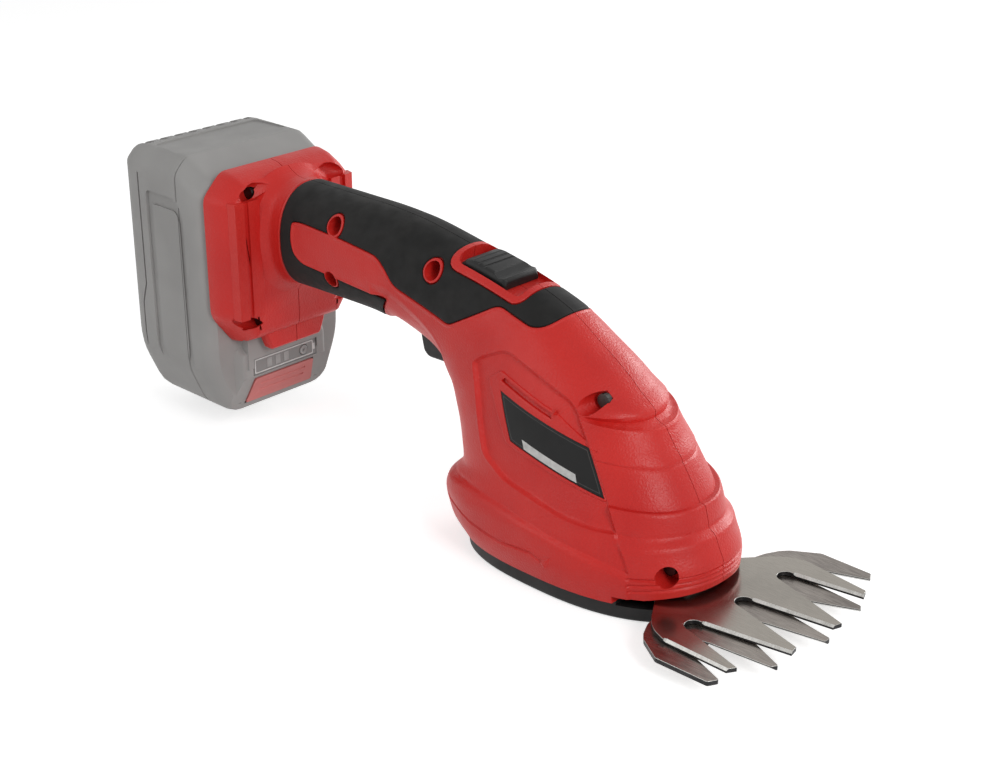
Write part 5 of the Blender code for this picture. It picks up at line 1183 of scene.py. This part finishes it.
# materials: each look is a colour pair mixed by noise, a roughness range, a grain and worn edges
ink = dict(patch=300, rough=(0.45, 0.6), specular=0.3, grain=2500, depth=0.01, strength=0.1)
looks = {
    "redPlastic": dict(colour=(0.60, 0.019, 0.014), dark=(0.54, 0.014, 0.011), patch=30, rough=(0.34, 0.46),
                       specular=0.36, grain=1250, depth=0.2, strength=0.9, wear=0.10, worn=(0.72, 0.09, 0.07)),
    "blackRubber": dict(colour=(0.012, 0.0115, 0.011), dark=(0.007, 0.007, 0.0068), patch=60, rough=(0.58, 0.74),
                        specular=0.2, grain=1900, depth=0.05, strength=0.4, wear=0.12, worn=(0.04, 0.038, 0.036)),
    "blackPlastic": dict(colour=(0.013, 0.013, 0.013), dark=(0.007, 0.007, 0.007), patch=50, rough=(0.42, 0.56),
                         specular=0.28, grain=1600, depth=0.04, strength=0.25, wear=0.15, worn=(0.05, 0.05, 0.05)),
    "labelFilm": dict(colour=(0.011, 0.011, 0.011), dark=(0.008, 0.008, 0.008), patch=90, rough=(0.38, 0.5),
                      specular=0.2, grain=2500, depth=0.01, strength=0.15),
    "paleInk": dict(ink, colour=(0.62, 0.62, 0.60), dark=(0.5, 0.5, 0.49)),
    "borderInk": dict(ink, colour=(0.05, 0.045, 0.043), dark=(0.03, 0.03, 0.03)),
    "packGrey": dict(colour=(0.36, 0.353, 0.345), dark=(0.315, 0.309, 0.302), patch=25, rough=(0.5, 0.64),
                     specular=0.22, grain=1400, depth=0.05, strength=0.3, wear=0.12, worn=(0.42, 0.41, 0.4)),
    "packField": dict(colour=(0.27, 0.265, 0.26), dark=(0.24, 0.236, 0.232), patch=40, rough=(0.45, 0.58),
                      specular=0.22, grain=1800, depth=0.03, strength=0.2),
    "packInk": dict(ink, colour=(0.66, 0.66, 0.65), dark=(0.58, 0.58, 0.57)),
    "packBar": dict(ink, colour=(0.36, 0.355, 0.35), dark=(0.32, 0.315, 0.31)),
    "packRed": dict(colour=(0.62, 0.19, 0.18), dark=(0.55, 0.16, 0.15), patch=40, rough=(0.42, 0.55), specular=0.25,
                    grain=1500, depth=0.05, strength=0.28, wear=0.12, worn=(0.75, 0.36, 0.34)),
    "movingSteel": dict(colour=(0.33, 0.305, 0.27), dark=(0.25, 0.23, 0.205), patch=22, rough=(0.17, 0.27), metal=1.0,
                        grain=260, depth=0.01, strength=0.5, stretch=(1, 26, 1), turn=64),
    "fixedSteel": dict(colour=(0.30, 0.27, 0.245), dark=(0.13, 0.115, 0.106), patch=30, rough=(0.2, 0.34), metal=1.0,
                       grain=200, depth=0.015, strength=0.75, stretch=(1, 18, 1), turn=-28),
    # painted shade: a near-black copy of the blade steel for the blades' upright walls
    "shadedWallSteel": dict(colour=(0.03, 0.029, 0.03), dark=(0.012, 0.012, 0.013), patch=200, rough=(0.35, 0.5), metal=0.6,
                     grain=500, depth=0.02, strength=0.4),
    "groundSteel": dict(colour=(0.52, 0.51, 0.49), dark=(0.33, 0.32, 0.30), patch=300, rough=(0.22, 0.4), metal=1.0,
                        grain=500, depth=0.03, strength=0.7, stretch=(14, 1, 1), turn=0),
    "zincSteel": dict(colour=(0.50, 0.49, 0.46), dark=(0.36, 0.35, 0.33), patch=150, rough=(0.28, 0.42), metal=1.0,
                      grain=900, depth=0.02, strength=0.3, wear=0.3, worn=(0.7, 0.69, 0.66)),
    # painted shade: near-black metal for the housing screws, standing in for the shade inside their recesses
    "shadedScrew": dict(colour=(0.06, 0.057, 0.055), dark=(0.03, 0.029, 0.028), patch=150, rough=(0.35, 0.5), metal=1.0,
                      grain=900, depth=0.02, strength=0.3, wear=0.2, worn=(0.2, 0.19, 0.18)),
    "gearSteel": dict(colour=(0.34, 0.33, 0.31), dark=(0.24, 0.235, 0.225), patch=120, rough=(0.3, 0.45), metal=1.0,
                      grain=800, depth=0.02, strength=0.3, wear=0.4, worn=(0.6, 0.59, 0.57)),
    "castAlloy": dict(colour=(0.42, 0.42, 0.41), dark=(0.33, 0.33, 0.325), patch=90, rough=(0.5, 0.66), metal=1.0,
                      grain=700, depth=0.08, strength=0.5, wear=0.2, worn=(0.6, 0.6, 0.59)),
    "brass": dict(colour=(0.62, 0.42, 0.13), dark=(0.46, 0.30, 0.08), patch=150, rough=(0.25, 0.4), metal=1.0,
                  grain=900, depth=0.02, strength=0.3, wear=0.3, worn=(0.8, 0.6, 0.25)),
    "whiteNylon": dict(colour=(0.72, 0.71, 0.66), dark=(0.64, 0.63, 0.58), patch=80, rough=(0.4, 0.55), specular=0.35,
                       grain=900, depth=0.03, strength=0.2),
    "cellWrap": dict(colour=(0.03, 0.24, 0.09), dark=(0.022, 0.19, 0.07), patch=60, rough=(0.28, 0.4), specular=0.45,
                     grain=500, depth=0.03, strength=0.2),
    "boardGreen": dict(colour=(0.012, 0.11, 0.035), dark=(0.008, 0.075, 0.025), patch=400, rough=(0.3, 0.45),
                       specular=0.4, grain=1500, depth=0.02, strength=0.25),
    "wireRed": dict(colour=(0.5, 0.02, 0.015), dark=(0.42, 0.015, 0.012), patch=200, rough=(0.4, 0.5), specular=0.35,
                    grain=1200, depth=0.02, strength=0.2),
    "wireBlack": dict(colour=(0.015, 0.015, 0.015), dark=(0.01, 0.01, 0.01), patch=200, rough=(0.4, 0.5),
                      specular=0.3, grain=1200, depth=0.02, strength=0.2),
}


def addNode(tree, kind, operation=None, **values):
    # a node with its sockets filled: a socket of another node is linked, anything else is its value
    node = tree.nodes.new("ShaderNode" + kind)
    if operation:
        node.operation = operation
    for key, value in values.items():
        fillSocket(tree, node.inputs[int(key[2:]) if key.startswith("at") else key.replace("_", " ")], value)
    return node.outputs[0]


def fillSocket(tree, socket, value):
    if isinstance(value, bpy.types.NodeSocket):
        tree.links.new(value, socket)
    else:
        socket.default_value = value


def addMaterial(name, look):
    made = bpy.data.materials.new(name)
    made.use_nodes = True
    tree = made.node_tree
    place = tree.nodes.new("ShaderNodeTexCoord").outputs["Object"]
    grainPlace = place
    if "stretch" in look:
        grainPlace = addNode(tree, "Mapping", Rotation=(0, 0, math.radians(look["turn"])), Scale=look["stretch"],
                             Vector=place)

    def noise(source, scale, detail):
        return addNode(tree, "TexNoise", Scale=scale, Detail=detail, Vector=source)

    patches = noise(place, look["patch"], 3)
    grain = noise(grainPlace, look["grain"], 2)
    share = patches
    if "stretch" in look:
        scaled = addNode(tree, "Math", "MULTIPLY", at0=patches, at1=0.45)
        share = addNode(tree, "Math", "MULTIPLY_ADD", at0=grain, at1=0.55, at2=scaled)
    colour = addNode(tree, "ValToRGB", at0=share)
    for element, position, shade in zip(colour.node.color_ramp.elements, (0.35, 0.62), ("dark", "colour")):
        element.position = position
        element.color = (*look[shade], 1)
    if "wear" in look:
        pointed = tree.nodes.new("ShaderNodeNewGeometry").outputs["Pointiness"]
        edge = addNode(tree, "MapRange", From_Min=0.53, From_Max=0.66, To_Max=look["wear"] * 2, Value=pointed)
        broken = addNode(tree, "Math", "MULTIPLY", at0=edge, at1=noise(place, 400, 3))
        colour = addNode(tree, "MixRGB", at0=broken, at1=colour, at2=(*look["worn"], 1))
    low, high = look["rough"]
    rough = addNode(tree, "MapRange", From_Min=0.3, From_Max=0.7, To_Min=low, To_Max=high,
                    Value=noise(place, look["patch"] * 3, 4))
    bump = addNode(tree, "Bump", Strength=look["strength"], Distance=look["depth"] * mm, Height=grain)
    shader = tree.nodes["Principled BSDF"]
    for key, value in (("Base Color", colour), ("Roughness", rough), ("Metallic", look.get("metal", 0.0)),
                       ("Specular IOR Level", look.get("specular", 0.5)), ("Normal", bump)):
        fillSocket(tree, shader.inputs[key], value)
    return made


materials = {name: addMaterial(name, look) for name, look in looks.items()}
slotLooks = {
    "red_plastic": "redPlastic", "black_rubber": "blackRubber", "black_plastic": "blackPlastic",
    "label_black": "labelFilm", "pack_grey": "packGrey", "pack_red": "packRed", "blade_steel": "movingSteel",
    "zinc_steel": "zincSteel", "gear_steel": "gearSteel", "cast_alloy": "castAlloy", "brass": "brass",
    "white_nylon": "whiteNylon", "cell": "cellWrap", "cell_green": "cellWrap", "board_green": "boardGreen",
    "wire_red": "wireRed", "wire_black": "wireBlack"}
pieceLooks = {
    "housingRight": ["redPlastic"], "housingLeft": ["redPlastic"], "gripRight": ["blackRubber"],
    "gripLeft": ["blackRubber"], "ratingPlate": ["labelFilm", "borderInk", "paleInk"], "lockButton": ["blackPlastic"],
    "triggerLever": ["blackPlastic"], "shoeBand": ["blackPlastic"], "batteryCaseRear": ["packGrey"],
    # the blades' second look is the near-black steel with painted shade on their walls
    "fixedBlade": ["fixedSteel", "shadedWallSteel", "groundSteel", "groundSteel"],
    "movingBlade": ["movingSteel", "shadedWallSteel", "groundSteel", "groundSteel"],
    "batteryCaseFront": ["packGrey"], "gaugePanel": ["packField", "packInk", "packBar"], "gaugeButton": ["packBar"],
    "releaseButton": ["packRed"]}
for name, names in pieceLooks.items():
    mesh = pieces[name].data
    indexes = [face.material_index for face in mesh.polygons]
    mesh.materials.clear()
    for material in names:
        mesh.materials.append(materials[material])
    mesh.polygons.foreach_set("material_index", [min(index, len(names) - 1) for index in indexes])
for name, node in nodes.items():
    for index, old in enumerate(node.data.materials):
        # the housing screws take the near-black metal with painted shade
        look = "shadedScrew" if name.startswith("housing_screw") else slotLooks[old.name.split(".")[0]]
        node.data.materials[index] = materials[look]
print("materials assigned")


# camera, floor and light: angles in degrees, places in metres, power in watts
white = (1, 1, 1, 1)
studio = {"turn": 43.43, "tilt": 23.63, "eye": (0.355, -0.484, 0.352), "lens": 64.37, "worldLight": 0.4,
          "floorGlow": 0.6, "floorZ": -0.0003,
          "lamps": (("frontLamp", (0.85, -0.25, 0.62), (-0.04, 0, 0.06), (0.34, 0.5), 4.5),
                    ("farLamp", (0.05, 0.95, 0.38), (-0.1, 0, 0.08), (0.5, 0.3), 5),
                    ("sideLamp", (-0.45, -0.8, 0.5), (-0.15, 0, 0.08), (0.6, 0.6), 1.6))}


def addCamera():
    turn = math.radians(studio["turn"])
    tilt = math.radians(studio["tilt"])
    right = Vector((math.cos(turn), math.sin(turn), 0))
    back = Vector((math.sin(turn) * math.cos(tilt), -math.cos(turn) * math.cos(tilt), math.sin(tilt)))
    up = back.cross(right)
    data = bpy.data.cameras.new("camera")
    data.sensor_width = 36
    data.lens = studio["lens"]
    data.clip_start = 0.02
    camera = bpy.data.objects.new("camera", data)
    bpy.context.scene.collection.objects.link(camera)
    camera.matrix_world = Matrix.Translation(studio["eye"]) @ Matrix((right, up, back)).transposed().to_4x4()
    bpy.context.scene.camera = camera


def addLamp(name, place, target, size, power):
    data = bpy.data.lights.new(name, "AREA")
    data.shape = "RECTANGLE"
    data.size, data.size_y = size
    data.energy = power
    lamp = bpy.data.objects.new(name, data)
    bpy.context.scene.collection.objects.link(lamp)
    lamp.location = place
    lamp.rotation_euler = (Vector(target) - Vector(place)).to_track_quat("-Z", "Y").to_euler()


def seenOnly(tree):
    # 1 for rays from the camera and for reflected or refracted ones
    path = tree.nodes.new("ShaderNodeLightPath").outputs
    first = addNode(tree, "Math", "MAXIMUM", at0=path["Is Camera Ray"], at1=path["Is Glossy Ray"])
    return addNode(tree, "Math", "MAXIMUM", at0=first, at1=path["Is Transmission Ray"])


def addWorld():
    world = bpy.data.worlds.new("world")
    world.use_nodes = True
    bpy.context.scene.world = world
    tree = world.node_tree
    light = tree.nodes["Background"]
    light.inputs["Color"].default_value = white
    light.inputs["Strength"].default_value = studio["worldLight"]
    seen = addNode(tree, "Background", Color=white, Strength=1.0)
    mix = addNode(tree, "MixShader", at0=seenOnly(tree), at1=light.outputs[0], at2=seen)
    tree.links.new(mix, tree.nodes["World Output"].inputs["Surface"])


def addFloor():
    shape = bmesh.new()
    bmesh.ops.create_grid(shape, x_segments=4, y_segments=4, size=6)
    made = bpy.data.materials.new("floor")
    made.use_nodes = True
    tree = made.node_tree
    shader = tree.nodes["Principled BSDF"]
    for key, value in (("Base Color", (0.8, 0.8, 0.8, 1)), ("Roughness", 0.9), ("Specular IOR Level", 0.0)):
        shader.inputs[key].default_value = value
    strength = addNode(tree, "Math", "MULTIPLY", at0=seenOnly(tree), at1=studio["floorGlow"])
    glow = addNode(tree, "Emission", Color=white, Strength=strength)
    both = addNode(tree, "AddShader", at0=shader.outputs[0], at1=glow)
    tree.links.new(both, tree.nodes["Material Output"].inputs["Surface"])
    floor = addObject("floor", shape, made, smooth=False)
    floor.location.z = studio["floorZ"]


addCamera()
addWorld()
addFloor()
for lamp in studio["lamps"]:
    addLamp(*lamp)
bpy.context.scene.view_settings.view_transform = "Standard"
